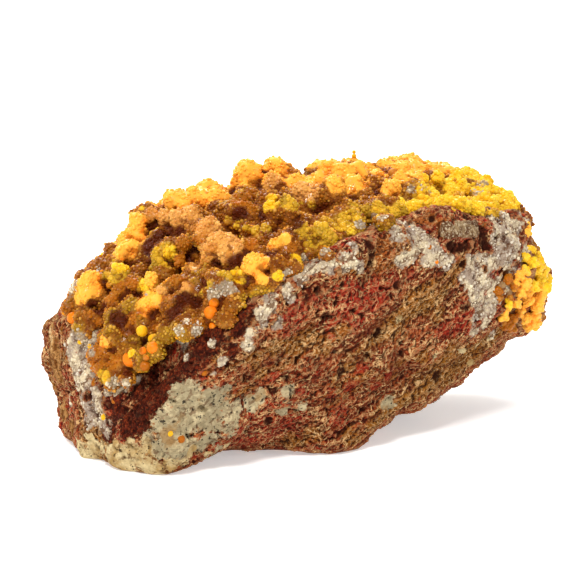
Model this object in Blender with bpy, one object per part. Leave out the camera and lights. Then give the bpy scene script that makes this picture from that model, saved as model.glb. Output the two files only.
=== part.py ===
"""Mimetite specimen: a botryoidal crust and an end cluster on an iron-stained quartz matrix.

Metres, +Z up. X runs along the rock, -Y is its broken front face and +Y its hidden back.
The origin is on the surface that the rock rests on, under the middle of the whole specimen.
"""
import math
import random

import bmesh
import bpy
import numpy as np
from mathutils import Vector, noise

MM = 0.001

# Driving dimensions, in millimetres
GAP = 0.35
CRUST_DEPTH = 3.4
SLAB_UNDER_ENVELOPE = 0.7
SLAB_INTO_ROCK = 2.5
FACE_GRAIN = math.radians(28)
GROUND_CUT = 120

# How far the crust takes to reach its depth, in guide numbers, and how far at its two ends
CRUST_TAPER = 0.55
END_TAPER = 6
SLAB_COVER = 0.3
LOBE_COVER = 0.12

# Fineness: voxels in millimetres, loft points along and around, and triangles kept
MATRIX_VOXEL = 0.75
CRUST_VOXEL = 0.6
MATRIX_GRID = (120, 96)
SLAB_GRID = (110, 110)
MATRIX_TRIANGLES = 3900
CRUST_TRIANGLES = 4300
CLUSTER_TRIANGLES = 700
SEED = 41

# The envelope of rock and crust: guide curves along the rock, each read at the same stations.
STATIONS = (-38.3, -35.3, -29.5, -21, -11, 0, 11, 22, 32.5, 39.8, 43.4)
LEFT_POLE = (-39.8, 0.5, 13)
RIGHT_POLE = (44.8, -1, 23.5)
GUIDES = (
    # front foot
    ((-9, 2), (-16.5, 0), (-18.5, 0.6), (-17, 3.2), (-18, 1.4), (-19.5, -0.8),
     (-17, 2.6), (-14, 4.8), (-12, 8.8), (-11.5, 12.2), (-8.5, 14.5)),
    # lower face
    ((-11.5, 6), (-18.5, 5.5), (-21.5, 6.5), (-22, 8.5), (-23, 8.5), (-23.5, 9),
     (-22.5, 11), (-20.5, 13), (-18.5, 15), (-16, 16.2), (-11.5, 17.2)),
    # upper face
    ((-12, 11), (-19, 12), (-23, 15.5), (-25, 19), (-26, 21.5), (-26.3, 23),
     (-25.5, 24.5), (-23.5, 24.5), (-20.5, 24), (-16.5, 23), (-11, 23)),
    # rim between face and crust
    ((-10.5, 16), (-17, 18), (-22.5, 24), (-25, 28.5), (-26, 32), (-26, 34.3),
     (-25, 35.2), (-22, 34.2), (-18.5, 32), (-14, 29.5), (-8.5, 27.5)),
    # crust slope
    ((-4, 20.5), (-9, 23.5), (-14, 29.5), (-16, 35.6), (-16, 37.8), (-16, 39.2),
     (-15, 39.8), (-13, 39.2), (-10, 37.2), (-7, 34.2), (-4, 30.5)),
    # crest
    ((3.5, 25), (3, 27.2), (3, 31), (3, 37.6), (3, 40), (3, 41.3),
     (3, 41.6), (3, 41.2), (3, 39.8), (3, 36.8), (2, 32.5)),
    # back shoulder
    ((8, 20.5), (10.5, 22.5), (12.5, 27), (14.5, 33), (15.5, 35.5), (15.5, 36.6),
     (15, 37.2), (14, 36.9), (12.5, 35.8), (10, 33.4), (7, 30)),
    # upper back
    ((11, 15), (16, 16), (19.5, 18.5), (20.5, 21), (21, 22.5), (20.5, 23.5),
     (19.5, 24.5), (18, 25), (15.5, 26), (12, 26.5), (8, 26.5)),
    # lower back
    ((10, 6), (14.5, 5), (18.5, 5), (19.5, 6), (19.5, 6.5), (19, 7),
     (17, 8), (15, 10), (13, 13), (9.5, 16.5), (6, 20)),
    # back foot
    ((7, 1), (11, 0), (14, -0.6), (15, -1), (14.5, -1), (14, -1),
     (11.5, 0), (9, 3.2), (7.5, 7.2), (5.5, 11.5), (3.5, 17)),
    # underside, back
    ((3, 0.6), (3.5, -0.8), (4, -1.2), (4, -1.2), (4, -1.2), (4, -1.2),
     (3, -0.4), (2, 3), (2, 7), (1.5, 11.2), (0.5, 16)),
    # underside, front
    ((-3, 0.6), (-7, -0.8), (-9, -1.2), (-8, -0.6), (-8.5, -0.8), (-9, -1.2),
     (-8, -0.2), (-6.5, 3.4), (-5, 7.2), (-4, 11), (-3, 15.2)),
)

# Where the crust ends, in guide numbers around the rock, at places along it in millimetres
CRUST_FRONT = ((-41, 2.6), (-38, 1.9), (-34, 2.4), (-28, 2.85), (-16, 2.95), (-6, 3.05),
               (4, 3.25), (16, 3.4), (28, 3.4), (36, 3.25), (45, 3.5))
CRUST_BACK = ((-41, 5.2), (-36, 5.9), (-26, 6.3), (-12, 6.0), (2, 6.5), (16, 6.1),
              (30, 6.4), (41, 5.9), (46, 5.4))
CRUST_ENDS = (-39.6, 43.0)

# Main lobes: place along the rock, guide number around it, radius, and lift over the crust
LOBES = (
    (-35.5, 4.85, 1.9, 0.3), (-29.0, 5.0, 2.2, 0.5), (-25.0, 5.1, 2.4, 0.8),
    (-22.0, 4.3, 2.0, 0.6), (-18.5, 5.0, 2.2, 0.8), (-13.0, 4.9, 2.3, 0.6),
    (-12.5, 3.75, 2.9, 1.2), (-9.0, 4.4, 2.4, 0.8), (-5.5, 5.0, 2.6, 1.6),
    (-1.5, 5.0, 2.5, 1.5), (2.5, 4.7, 2.4, 0.7), (0.5, 4.2, 2.6, 0.8),
    (6.5, 4.6, 3.0, 1.1), (9.5, 4.95, 2.3, 1.1), (10.5, 4.5, 2.4, 0.9),
    (14.5, 5.0, 1.9, 1.6), (19.5, 4.95, 2.2, 0.9), (25.0, 4.9, 2.4, 0.8),
    (31.0, 4.9, 2.8, 0.8), (37.5, 4.8, 2.2, 0.4), (41.0, 4.6, 2.0, 0.3),
    (-25.0, 3.55, 2.1, 0.6), (-31.5, 3.6, 1.9, 0.6), (-33.5, 3.2, 1.7, 0.7),
    (-17.0, 3.35, 1.9, 0.6), (-7.5, 3.5, 2.1, 0.6), (-35.0, 4.1, 2.0, 0.4),
    (18.0, 4.2, 2.2, 0.5), (28.0, 4.2, 2.0, 0.5), (36.5, 4.0, 1.8, 0.5),
)
SMALL_LOBES = 190
SMALL_LOBE_RADIUS = (1.5, 2.3)
SMALL_LOBE_SPACING = 0.78
SMALL_LOBE_AROUND = (1.8, 6.6)
LOBE_SINK = 0.4

# Lumps that are one with the matrix: place along the rock, guide number, radius, lift
ROCK_LUMPS = (
    (-37.0, 6.6, 4.2, -2.4), (-38.0, 7.2, 3.2, -1.6), (-37.8, 1.1, 4.2, -2.8),
    (-38.0, 0.2, 3.6, -2.2), (-37.0, 10.6, 3.0, -1.8), (-34.0, 1.0, 3.4, -2.0),
    (-24.0, 0.9, 3.6, -2.4), (-6.0, 0.8, 4.0, -2.9), (3.0, 0.6, 3.4, -2.4),
    (24.0, 3.0, 2.6, -0.8), (29.0, 2.7, 3.0, -1.0), (34.0, 2.9, 2.8, -0.9),
    (33.0, 2.1, 2.6, -1.0), (38.0, 2.5, 2.6, -0.9), (15.0, 3.1, 2.4, -1.0),
    (5.0, 3.0, 2.2, -0.9), (-9.0, 2.95, 2.0, -0.7), (-20.0, 2.8, 2.0, -0.7),
)
# Single balls of mimetite that sit on the bare matrix
MATRIX_BALLS = (
    (-39.3, 4.6, 1.6, 0.5), (-22.5, 2.5, 1.2, 0.4),
    (39.0, 2.4, 1.3, 0.5), (41.0, 2.1, 1.3, 0.5),
)
# Hollows in the broken face: place along the rock, guide number, radius, depth
FACE_PITS = (
    (-28.0, 0.2, 4.5, 1.6), (-13.0, 0.5, 4.0, 1.2), (-5.0, 1.6, 3.0, 0.9),
    (8.0, 1.2, 3.6, 1.0), (16.0, 1.9, 3.2, 1.0), (23.0, 0.9, 3.0, 1.4),
    (-24.0, 1.8, 3.0, 0.9), (-39.2, 2.6, 3.2, 1.4),
)
# The cluster on the right-hand end, below the crust
CLUSTER_LIFT = (-0.7, 0.3)
CLUSTER_SPAN = (37.8, 43.4)
CLUSTER_AROUND = (0.7, 3.1)
CLUSTER_LOBES = 46
CLUSTER_RADIUS = (1.5, 2.3)


def clear_scene():
    for item in list(bpy.data.objects):
        bpy.data.objects.remove(item, do_unlink=True)


def control_net():
    """Stations by guides, with a pole ring at each end and one ring mirrored past each pole."""
    count = len(GUIDES)
    rings = [[(x, guide[i][0], guide[i][1]) for guide in GUIDES] for i, x in enumerate(STATIONS)]
    rings = [[LEFT_POLE] * count] + rings + [[RIGHT_POLE] * count]
    net = np.array(rings, dtype=float)
    half = count // 2
    before = np.roll(net[1], half, axis=0)
    after = np.roll(net[-2], half, axis=0)
    return np.concatenate([before[None], net, after[None]])


NET = control_net()
SPANS = len(STATIONS) + 1


def blend_weights(f):
    return 0.5 * np.array([-f + 2 * f ** 2 - f ** 3, 2 - 5 * f ** 2 + 3 * f ** 3,
                           f + 4 * f ** 2 - 3 * f ** 3, -f ** 2 + f ** 3])


def envelope(along, around):
    """Point of the smooth envelope. along runs from 0 to SPANS, around from 0 to 12."""
    along = min(max(along, 0.0), SPANS - 1e-6)
    i = int(along)
    j = int(math.floor(around))
    rows = blend_weights(along - i)
    columns = blend_weights(around - j)
    picked = NET[i:i + 4][:, [(j + k) % len(GUIDES) for k in (-1, 0, 1, 2)]]
    return np.einsum("a,b,abc->c", rows, columns, picked)


def outward(along, around):
    step = 0.02
    run = envelope(along + step, around) - envelope(along - step, around)
    rise = envelope(along, around + step) - envelope(along, around - step)
    normal = np.cross(run, rise)
    length = np.linalg.norm(normal)
    if length < 1e-9:
        return np.array([1.0 if along > 1 else -1.0, 0, 0])
    return normal / length


def place_along(x, around):
    """The value of along at which the envelope's guide stands at x."""
    low, high = 0.02, SPANS - 0.02
    for _ in range(26):
        middle = (low + high) / 2
        if envelope(middle, around)[0] < x:
            low = middle
        else:
            high = middle
    return (low + high) / 2


def smooth_step(value, low, high):
    f = min(max((value - low) / (high - low), 0.0), 1.0)
    return f * f * (3 - 2 * f)


def along_table(table, x):
    return float(np.interp(x, [row[0] for row in table], [row[1] for row in table]))


def crust_cover(point, around):
    """0 on bare rock, rising to 1 well inside the crust."""
    wander = 0.16 * noise.noise(Vector((point[0] / 5, around * 1.3, 3.1)))
    front = around - along_table(CRUST_FRONT, point[0]) - wander
    back = along_table(CRUST_BACK, point[0]) - around + wander
    ends = min(point[0] - CRUST_ENDS[0], CRUST_ENDS[1] - point[0]) / END_TAPER
    return smooth_step(min(front, back, ends), 0.0, CRUST_TAPER)


def terraced(value, steps):
    """Turns a smooth swell into flat treads with short risers, as broken rock has."""
    scaled = value * steps
    tread = math.floor(scaled)
    return (tread + smooth_step(scaled - tread, 0.35, 0.65)) / steps


def rock_relief(point, around, bare):
    """Ledges and grooves along the grain of the broken face, and rough steps elsewhere."""
    grain = Vector((math.cos(FACE_GRAIN), 0, math.sin(FACE_GRAIN)))
    across = Vector((-math.sin(FACE_GRAIN), 0, math.cos(FACE_GRAIN)))
    p = Vector(point)
    on_face = smooth_step(around, 0.2, 0.7) * (1 - smooth_step(around, 2.7, 3.1))
    grooves = noise.noise(Vector((p.dot(grain) / 11, p.dot(across) / 2.6, p.y / 9)))
    ledges = terraced(noise.noise(Vector((p.dot(grain) / 16, p.dot(across) / 6, 7.7))), 2.5)
    steps = terraced(noise.fractal(p / 9, 0.9, 2.0, 2), 2.0)
    return bare * (on_face * (0.7 * grooves + 1.3 * ledges) + (1.7 - 1.1 * on_face) * steps)


def pit_depth(point, pits):
    depth = 0.0
    for centre, radius, deep in pits:
        depth += deep * math.exp(-2 * (np.linalg.norm(point - centre) / radius) ** 2)
    return depth


def new_object(name, mesh):
    thing = bpy.data.objects.new(name, mesh)
    bpy.context.scene.collection.objects.link(thing)
    return thing


def mesh_from(name, points, faces):
    mesh = bpy.data.meshes.new(name)
    mesh.from_pydata([tuple(float(v) for v in p) for p in points], [], faces)
    mesh.validate()
    mesh.update()
    return mesh


def lump(points, faces, centre, radius, rng, detail=2):
    """Adds one rounded lump, slightly uneven, to a list of points and faces."""
    ball = bmesh.new()
    bmesh.ops.create_icosphere(ball, subdivisions=detail, radius=1)
    squash = [rng.uniform(0.88, 1.12) for _ in range(3)]
    start = len(points)
    for vertex in ball.verts:
        points.append(centre + radius * np.array([vertex.co[k] * squash[k] for k in range(3)]))
    for face in ball.faces:
        faces.append([start + vertex.index for vertex in face.verts])
    ball.free()


def lump_centre(x, around, lift):
    along = place_along(x, around)
    return envelope(along, around) + lift * outward(along, around)


def loft_grid(rows, columns, height):
    """A closed loft. height(point, around) gives the offset from the envelope."""
    points = [envelope(0.0, 0.0)]
    for r in range(1, rows):
        along = SPANS * r / rows
        for c in range(columns):
            around = len(GUIDES) * c / columns
            base = envelope(along, around)
            points.append(base + height(base, around) * outward(along, around))
    points.append(envelope(SPANS, 0.0))
    faces = []
    last = len(points) - 1
    for c in range(columns):
        d = (c + 1) % columns
        faces.append([0, 1 + c, 1 + d])
        for r in range(rows - 2):
            a, b = 1 + r * columns, 1 + (r + 1) * columns
            faces.append([a + c, b + c, b + d, a + d])
        end = 1 + (rows - 2) * columns
        faces.append([last, end + d, end + c])
    return points, faces


def add_remesh(thing, voxel):
    remesh = thing.modifiers.new("grow_together", "REMESH")
    remesh.mode = "VOXEL"
    remesh.voxel_size = voxel * MM


def add_decimate(thing, triangles):
    """Reduces the evaluated mesh to about this many triangles."""
    bpy.context.view_layer.update()
    count = triangle_count(thing)
    decimate = thing.modifiers.new("facets", "DECIMATE")
    decimate.ratio = min(1.0, triangles / count)
    decimate.use_collapse_triangulate = True


def evaluated_mesh(thing):
    graph = bpy.context.evaluated_depsgraph_get()
    return bpy.data.meshes.new_from_object(thing.evaluated_get(graph))


def triangle_count(thing):
    mesh = evaluated_mesh(thing)
    mesh.calc_loop_triangles()
    count = len(mesh.loop_triangles)
    bpy.data.meshes.remove(mesh)
    return count


def keep_largest_body(mesh):
    """Leaves only the largest connected body of a mesh."""
    bm = bmesh.new()
    bm.from_mesh(mesh)
    bmesh.ops.remove_doubles(bm, verts=bm.verts, dist=0.02 * MM)
    bmesh.ops.triangulate(bm, faces=bm.faces)
    unseen = set(bm.verts)
    bodies = []
    while unseen:
        stack = [unseen.pop()]
        body = set(stack)
        while stack:
            for edge in stack.pop().link_edges:
                for vertex in edge.verts:
                    if vertex in unseen:
                        unseen.discard(vertex)
                        body.add(vertex)
                        stack.append(vertex)
        bodies.append(body)
    keep = max(bodies, key=len)
    bmesh.ops.delete(bm, geom=[v for v in bm.verts if v not in keep], context="VERTS")
    bmesh.ops.recalc_face_normals(bm, faces=bm.faces)
    bm.to_mesh(mesh)
    bm.free()


def settle(thing):
    """Turns the object's modifiers into its mesh, as one closed body."""
    mesh = evaluated_mesh(thing)
    keep_largest_body(mesh)
    thing.modifiers.clear()
    thing.data = mesh


def hide_cutter(thing):
    thing.hide_render = True
    thing.display_type = "WIRE"


def cut(thing, cutter):
    hide_cutter(cutter)
    boolean = thing.modifiers.new("cut_" + cutter.name, "BOOLEAN")
    boolean.operation = "DIFFERENCE"
    boolean.solver = "EXACT"
    boolean.object = cutter


def round_shading(thing):
    thing.data.shade_smooth()
    thing.data.set_sharp_from_angle(angle=math.radians(50))


def swollen_copy(thing, name, amount):
    """A copy of the mesh with each point moved out along its normal."""
    mesh = thing.data.copy()
    mesh.name = name
    normals = [vertex.normal.copy() for vertex in mesh.vertices]
    for vertex, normal in zip(mesh.vertices, normals):
        vertex.co += normal * amount
    mesh.update()
    return new_object(name, mesh)


def finish_material(thing, colour, roughness, coat):
    material = bpy.data.materials.new(thing.name + "_finish")
    material.use_nodes = True
    shader = material.node_tree.nodes["Principled BSDF"]
    shader.inputs["Base Color"].default_value = (*colour, 1)
    shader.inputs["Roughness"].default_value = roughness
    shader.inputs["Metallic"].default_value = 0.0
    shader.inputs["Coat Weight"].default_value = coat
    material.diffuse_color = (*colour, 1)
    thing.data.materials.clear()
    thing.data.materials.append(material)


def make_matrix():
    """The rock: quartz and limonite, broken in front, hollowed a little under the crust."""
    rng = random.Random(SEED)
    pits = [(lump_centre(x, around, 0), radius, deep) for x, around, radius, deep in FACE_PITS]

    def height(point, around):
        cover = crust_cover(point, around)
        relief = rock_relief(point, around, 1 - cover)
        return relief - pit_depth(point, pits) - CRUST_DEPTH * cover

    points, faces = loft_grid(*MATRIX_GRID, height)
    for x, around, radius, lift in ROCK_LUMPS:
        lump(points, faces, lump_centre(x, around, lift), radius, rng)
    for x, around, radius, lift in MATRIX_BALLS:
        lump(points, faces, lump_centre(x, around, lift), radius, rng)
    rock = new_object("matrix", mesh_from("matrix", np.array(points) * MM, faces))
    add_remesh(rock, MATRIX_VOXEL)
    add_decimate(rock, MATRIX_TRIANGLES)
    ground = new_object("ground_cutter", ground_block("ground_cutter", GROUND_CUT))
    cut(rock, ground)
    settle(rock)
    round_shading(rock)
    finish_material(rock, (0.30, 0.10, 0.05), 0.85, 0.0)
    return rock


def ground_block(name, size):
    """A cube with its top on the surface that the rock rests on."""
    block = bmesh.new()
    bmesh.ops.create_cube(block, size=size * MM)
    bmesh.ops.translate(block, verts=block.verts, vec=(0, 0, -size * MM / 2))
    mesh = bpy.data.meshes.new(name)
    block.to_mesh(mesh)
    block.free()
    return mesh


def crust_slab(points, faces):
    """A closed sheet under the lobes, from inside the rock to just under the envelope."""
    rows, columns = SLAB_GRID
    ring = {}
    for r in range(1, rows):
        along = SPANS * r / rows
        for c in range(columns):
            around = len(GUIDES) * c / columns
            base = envelope(along, around)
            if crust_cover(base, around) > SLAB_COVER:
                ring[(r, c)] = (base, outward(along, around))
    start = len(points)
    index = {}
    for key, (base, normal) in ring.items():
        index[key] = start + 2 * len(index)
        points.append(base - SLAB_UNDER_ENVELOPE * normal)
        points.append(base - (CRUST_DEPTH + SLAB_INTO_ROCK) * normal)
    cells = [(r, c) for (r, c) in ring
             if all((r + a, c + b) in ring for a, b in ((1, 0), (1, 1), (0, 1)))]
    used = set(cells)
    for r, c in cells:
        corners = [(r, c), (r + 1, c), (r + 1, c + 1), (r, c + 1)]
        faces.append([index[k] for k in corners])
        faces.append([index[k] + 1 for k in reversed(corners)])
        sides = (((r, c - 1), 0), ((r + 1, c), 1), ((r, c + 1), 2), ((r - 1, c), 3))
        for neighbour, side in sides:
            if neighbour not in used:
                a, b = corners[side], corners[(side + 1) % 4]
                faces.append([index[b], index[a], index[a] + 1, index[b] + 1])


def scatter_lobes(count, rng):
    """Small lobes all over the crust, kept apart from each other."""
    placed = []
    tries = 0
    while len(placed) < count and tries < 12000:
        tries += 1
        along = rng.uniform(0.3, SPANS - 0.3)
        around = rng.uniform(*SMALL_LOBE_AROUND)
        base = envelope(along, around)
        if crust_cover(base, around) < LOBE_COVER:
            continue
        radius = rng.uniform(*SMALL_LOBE_RADIUS)
        if any(np.linalg.norm(base - other) < SMALL_LOBE_SPACING * (radius + size)
               for other, size in placed):
            continue
        placed.append((base, radius))
        lift = rng.uniform(-0.9, 0.1) * radius * 0.6
        yield base + lift * outward(along, around), radius


def make_crust(rock):
    """The botryoidal crust: lobes grown together over a thin sheet, seated on the rock."""
    rng = random.Random(SEED + 1)
    points, faces = [], []
    crust_slab(points, faces)
    for x, around, radius, lift in LOBES:
        lump(points, faces, lump_centre(x, around, lift - LOBE_SINK * radius), radius, rng)
    for centre, radius in scatter_lobes(SMALL_LOBES, rng):
        lump(points, faces, centre, radius, rng)
    crust = new_object("mimetite_crust", mesh_from("mimetite_crust", np.array(points) * MM, faces))
    add_remesh(crust, CRUST_VOXEL)
    add_decimate(crust, CRUST_TRIANGLES)
    cut(crust, swollen_copy(rock, "crust_bed", GAP * MM))
    settle(crust)
    round_shading(crust)
    finish_material(crust, (0.78, 0.38, 0.06), 0.35, 0.3)
    return crust


def make_cluster(rock, crust):
    """The knot of yellow and orange lobes on the right-hand end."""
    rng = random.Random(SEED + 2)
    points, faces = [], []
    for _ in range(CLUSTER_LOBES):
        around = rng.uniform(*CLUSTER_AROUND)
        x = rng.uniform(*CLUSTER_SPAN)
        radius = rng.uniform(*CLUSTER_RADIUS)
        lump(points, faces, lump_centre(x, around, rng.uniform(*CLUSTER_LIFT)), radius, rng)
    cluster = new_object("mimetite_end_cluster",
                         mesh_from("mimetite_end_cluster", np.array(points) * MM, faces))
    add_remesh(cluster, CRUST_VOXEL)
    add_decimate(cluster, CLUSTER_TRIANGLES)
    cut(cluster, swollen_copy(rock, "cluster_bed", GAP * MM))
    cut(cluster, swollen_copy(crust, "cluster_crust_bed", GAP * MM))
    settle(cluster)
    round_shading(cluster)
    finish_material(cluster, (0.86, 0.55, 0.07), 0.35, 0.3)
    return cluster


def centre_on_base(pieces):
    """Moves the meshes so that the box of all pieces stands centred on the origin."""
    corners = np.array([vertex.co for piece in pieces for vertex in piece.data.vertices])
    low, high = corners.min(axis=0), corners.max(axis=0)
    shift = Vector((-(low[0] + high[0]) / 2, -(low[1] + high[1]) / 2, -low[2]))
    for piece in pieces:
        for vertex in piece.data.vertices:
            vertex.co += shift
        piece.data.update()
        print(piece.name, len(piece.data.polygons), "triangles")
    print("shift mm", [round(v / MM, 3) for v in shift],
          "size mm", [round(float(v) / MM, 2) for v in high - low])


def build():
    clear_scene()
    rock = make_matrix()
    crust = make_crust(rock)
    cluster = make_cluster(rock, crust)
    for cutter in [item for item in bpy.data.objects if item.hide_render]:
        bpy.data.objects.remove(cutter, do_unlink=True)
    centre_on_base((rock, crust, cluster))


build()
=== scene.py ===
import itertools
import math
import random

import bmesh
import bpy
import numpy as np
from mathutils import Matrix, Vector, noise
from mathutils.bvhtree import BVHTree
from mathutils.kdtree import KDTree


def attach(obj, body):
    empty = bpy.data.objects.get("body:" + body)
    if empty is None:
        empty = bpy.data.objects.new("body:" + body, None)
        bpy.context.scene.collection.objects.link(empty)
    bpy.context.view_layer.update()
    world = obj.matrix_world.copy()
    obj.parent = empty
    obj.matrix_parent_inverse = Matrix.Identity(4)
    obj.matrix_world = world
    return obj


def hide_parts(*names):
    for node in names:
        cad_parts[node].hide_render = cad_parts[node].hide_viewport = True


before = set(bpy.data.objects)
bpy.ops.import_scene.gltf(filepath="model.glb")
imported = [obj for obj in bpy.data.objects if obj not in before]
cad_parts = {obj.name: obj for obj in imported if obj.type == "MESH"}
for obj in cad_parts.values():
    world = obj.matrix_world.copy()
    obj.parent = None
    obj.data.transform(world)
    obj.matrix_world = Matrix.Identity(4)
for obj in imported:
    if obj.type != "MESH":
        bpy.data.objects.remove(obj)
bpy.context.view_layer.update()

scene = bpy.context.scene
MM = 0.001

# The table and the light. A white sheet curves up behind the specimen, under one large
# soft lamp from the upper left, a weaker one from the right and a pale surround.
SHEET_HALF = 0.9
SHEET_BEND = 0.25
SHEET_CURVE = 0.35
SHEET_TOP = 1.2
CURVE_STEPS = 12


def new_piece(name, data):
    """An object in the scene for a mesh, a lamp or a camera."""
    piece = bpy.data.objects.new(name, data)
    scene.collection.objects.link(piece)
    return piece


def mesh_of(form, name):
    mesh = bpy.data.meshes.new(name)
    form.to_mesh(mesh)
    form.free()
    return mesh


profile = [(-SHEET_HALF, 0.0), (SHEET_BEND, 0.0)]
for step in range(1, CURVE_STEPS + 1):
    turn = math.radians(90) * step / CURVE_STEPS
    profile.append((SHEET_BEND + SHEET_CURVE * math.sin(turn),
                    SHEET_CURVE * (1 - math.cos(turn))))
profile.append((SHEET_BEND + SHEET_CURVE, SHEET_TOP))
sheet_form = bmesh.new()
rows = [[sheet_form.verts.new((side * SHEET_HALF * 2, y, z)) for side in (-1, 1)]
        for y, z in profile]
for near, far in zip(rows[:-1], rows[1:]):
    sheet_form.faces.new((near[0], near[1], far[1], far[0]))
white_sheet = new_piece("white_sheet", mesh_of(sheet_form, "white_sheet"))
white_sheet.data.shade_smooth()
paper = bpy.data.materials.new("white_paper")
paper.use_nodes = True
for socket, value in (("Base Color", (0.9, 0.9, 0.9, 1)), ("Roughness", 0.9),
                      ("Emission Color", (1, 1, 1, 1)), ("Emission Strength", 0.4)):
    paper.node_tree.nodes["Principled BSDF"].inputs[socket].default_value = value
white_sheet.data.materials.append(paper)


def soft_lamp(name, place, aim_height, size, watts, colour):
    lamp = bpy.data.lights.new(name, "AREA")
    lamp.shape = "DISK"
    lamp.size = size
    lamp.energy = watts
    lamp.color = colour
    holder = new_piece(name, lamp)
    holder.location = place
    aim = Vector((0, 0, aim_height)) - Vector(place)
    holder.rotation_euler = aim.to_track_quat("-Z", "Y").to_euler()


soft_lamp("key_lamp", (-0.40, -0.36, 0.62), 0.02, 0.20, 5.2, (1.0, 0.98, 0.95))
soft_lamp("fill_lamp", (0.35, -0.6, 0.3), 0.02, 0.3, 0.9, (1.0, 1.0, 1.0))
soft_lamp("back_lamp", (0.12, 0.42, 0.6), 0.03, 0.3, 4.2, (1.0, 0.99, 0.97))
surround = bpy.data.worlds.new("pale_surround")
surround.use_nodes = True
surround.node_tree.nodes["Background"].inputs["Color"].default_value = (1, 1, 1, 1)
surround.node_tree.nodes["Background"].inputs["Strength"].default_value = 0.42
scene.world = surround
scene.view_settings.view_transform = "Standard"
scene.view_settings.look = "None"

# The camera stands where the photograph's did: left of the broken face and a little above.
# AIM is the point behind the middle of the frame, and PIXEL is a pixel's width there.
VIEW_AZIMUTH = math.radians(-32)
VIEW_ELEVATION = math.radians(12)
VIEW_DISTANCE = 0.5
FRAME_PIXELS = 575
PIXEL = 0.165 * MM
AIM = Vector((-2.17, 2.85, 23.0)) * MM
SENSOR = 36
SEARCH_REACH = 50
back = Vector((math.sin(VIEW_AZIMUTH) * math.cos(VIEW_ELEVATION),
               -math.cos(VIEW_AZIMUTH) * math.cos(VIEW_ELEVATION),
               math.sin(VIEW_ELEVATION)))
right = (-back).cross(Vector((0, 0, 1))).normalized()
up = right.cross(-back)
lens = bpy.data.cameras.new("view")
lens.sensor_width = SENSOR
lens.lens = SENSOR * VIEW_DISTANCE / (FRAME_PIXELS * PIXEL)
lens.clip_start = 0.01
camera = new_piece("view", lens)
camera.location = AIM + VIEW_DISTANCE * back
camera.rotation_euler = (-back).to_track_quat("-Z", "Y").to_euler()
scene.camera = camera


def sight_line(u, v):
    """The direction from the camera through a pixel of the photograph."""
    side = (u - FRAME_PIXELS / 2) * PIXEL
    rise = (FRAME_PIXELS / 2 - v) * PIXEL
    return (AIM + side * right + rise * up - camera.location).normalized()


def seen_at(u, v, solid):
    """The solid's point under a pixel, or the sight line's point nearest to it."""
    eye = camera.location
    aim = sight_line(u, v)
    point = solid.ray_cast(eye, aim)[0]
    if point is None:
        offsets = range(-SEARCH_REACH, SEARCH_REACH + 1)
        steps = [eye + aim * (VIEW_DISTANCE + offset * MM) for offset in offsets]
        point = min(steps, key=lambda place: solid.find_nearest(place)[3])
    return point, aim


def solid_of(nodes):
    """A search tree of the solids of some nodes, for finding the points under pixels."""
    shape = bmesh.new()
    for node in nodes:
        shape.from_mesh(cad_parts[node].data)
    tree = BVHTree.FromBMesh(shape)
    shape.free()
    return tree


rock_solid = solid_of(["matrix"])
crust_solid = solid_of(["mimetite_crust"])
whole_solid = solid_of(["matrix", "mimetite_crust", "mimetite_end_cluster"])


# Helpers for mesh work: a merged copy of a solid, its voxel remesh, and arrays of points.
def merged_copy(node, name):
    form = bmesh.new()
    form.from_mesh(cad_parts[node].data)
    bmesh.ops.remove_doubles(form, verts=form.verts, dist=0.001 * MM)
    return new_piece(name, mesh_of(form, name))


def apply_modifiers(piece):
    bpy.context.view_layer.update()
    graph = bpy.context.evaluated_depsgraph_get()
    mesh = bpy.data.meshes.new_from_object(piece.evaluated_get(graph))
    old = piece.data
    piece.modifiers.clear()
    piece.data = mesh
    mesh.name = piece.name
    if old.users == 0:
        bpy.data.meshes.remove(old)


def grow_together(piece, voxel, smooth_rounds):
    """Remeshes a piece's overlapping bodies into one closed skin of even faces."""
    remesh = piece.modifiers.new("remesh", "REMESH")
    remesh.mode = "VOXEL"
    remesh.voxel_size = voxel
    if smooth_rounds:
        smooth = piece.modifiers.new("smooth", "SMOOTH")
        smooth.factor = 0.5
        smooth.iterations = smooth_rounds
    apply_modifiers(piece)


def vectors_of(items, field):
    flat = np.empty(len(items) * 3, np.float32)
    items.foreach_get(field, flat)
    return flat.reshape(-1, 3).astype(float)


def points_of(mesh):
    return vectors_of(mesh.vertices, "co")


def normals_of(mesh):
    return vectors_of(mesh.vertex_normals, "vector")


def move_points(mesh, points):
    mesh.vertices.foreach_set("co", np.ascontiguousarray(points, np.float32).ravel())
    mesh.update()


def keep_attribute(mesh, name, values):
    layer = mesh.attributes.get(name) or mesh.attributes.new(name, "FLOAT", "POINT")
    layer.data.foreach_set("value", np.ascontiguousarray(values, np.float32))


def hollowness(mesh, rounds, reach):
    """How far each point lies under its smoothed neighbourhood, from -1 to 1 at reach."""
    edges = np.empty(len(mesh.edges) * 2, np.int32)
    mesh.edges.foreach_get("vertices", edges)
    a, b = edges.reshape(-1, 2).T
    start = points_of(mesh)
    count = np.bincount(a, minlength=len(start)) + np.bincount(b, minlength=len(start))
    soft = start.copy()
    for _ in range(rounds):
        total = np.zeros_like(soft)
        for axis in range(3):
            total[:, axis] = (np.bincount(a, soft[b, axis], len(start))
                              + np.bincount(b, soft[a, axis], len(start)))
        soft = total / np.maximum(count, 1)[:, None]
    depth = ((soft - start) * normals_of(mesh)).sum(axis=1)
    return np.clip(depth / reach, -1, 1)


def painted(points, strokes, solid):
    """Round brush strokes laid over points: 1 in a stroke's middle and 0.5 on its edge."""
    missed = np.ones(len(points))
    for u, v, radius in strokes:
        centre = np.array(seen_at(u, v, solid)[0])
        distance = np.linalg.norm(points - centre, axis=1) / (radius * PIXEL)
        missed *= 1 - 0.5 ** (distance ** 2)
    return 1 - missed


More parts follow.
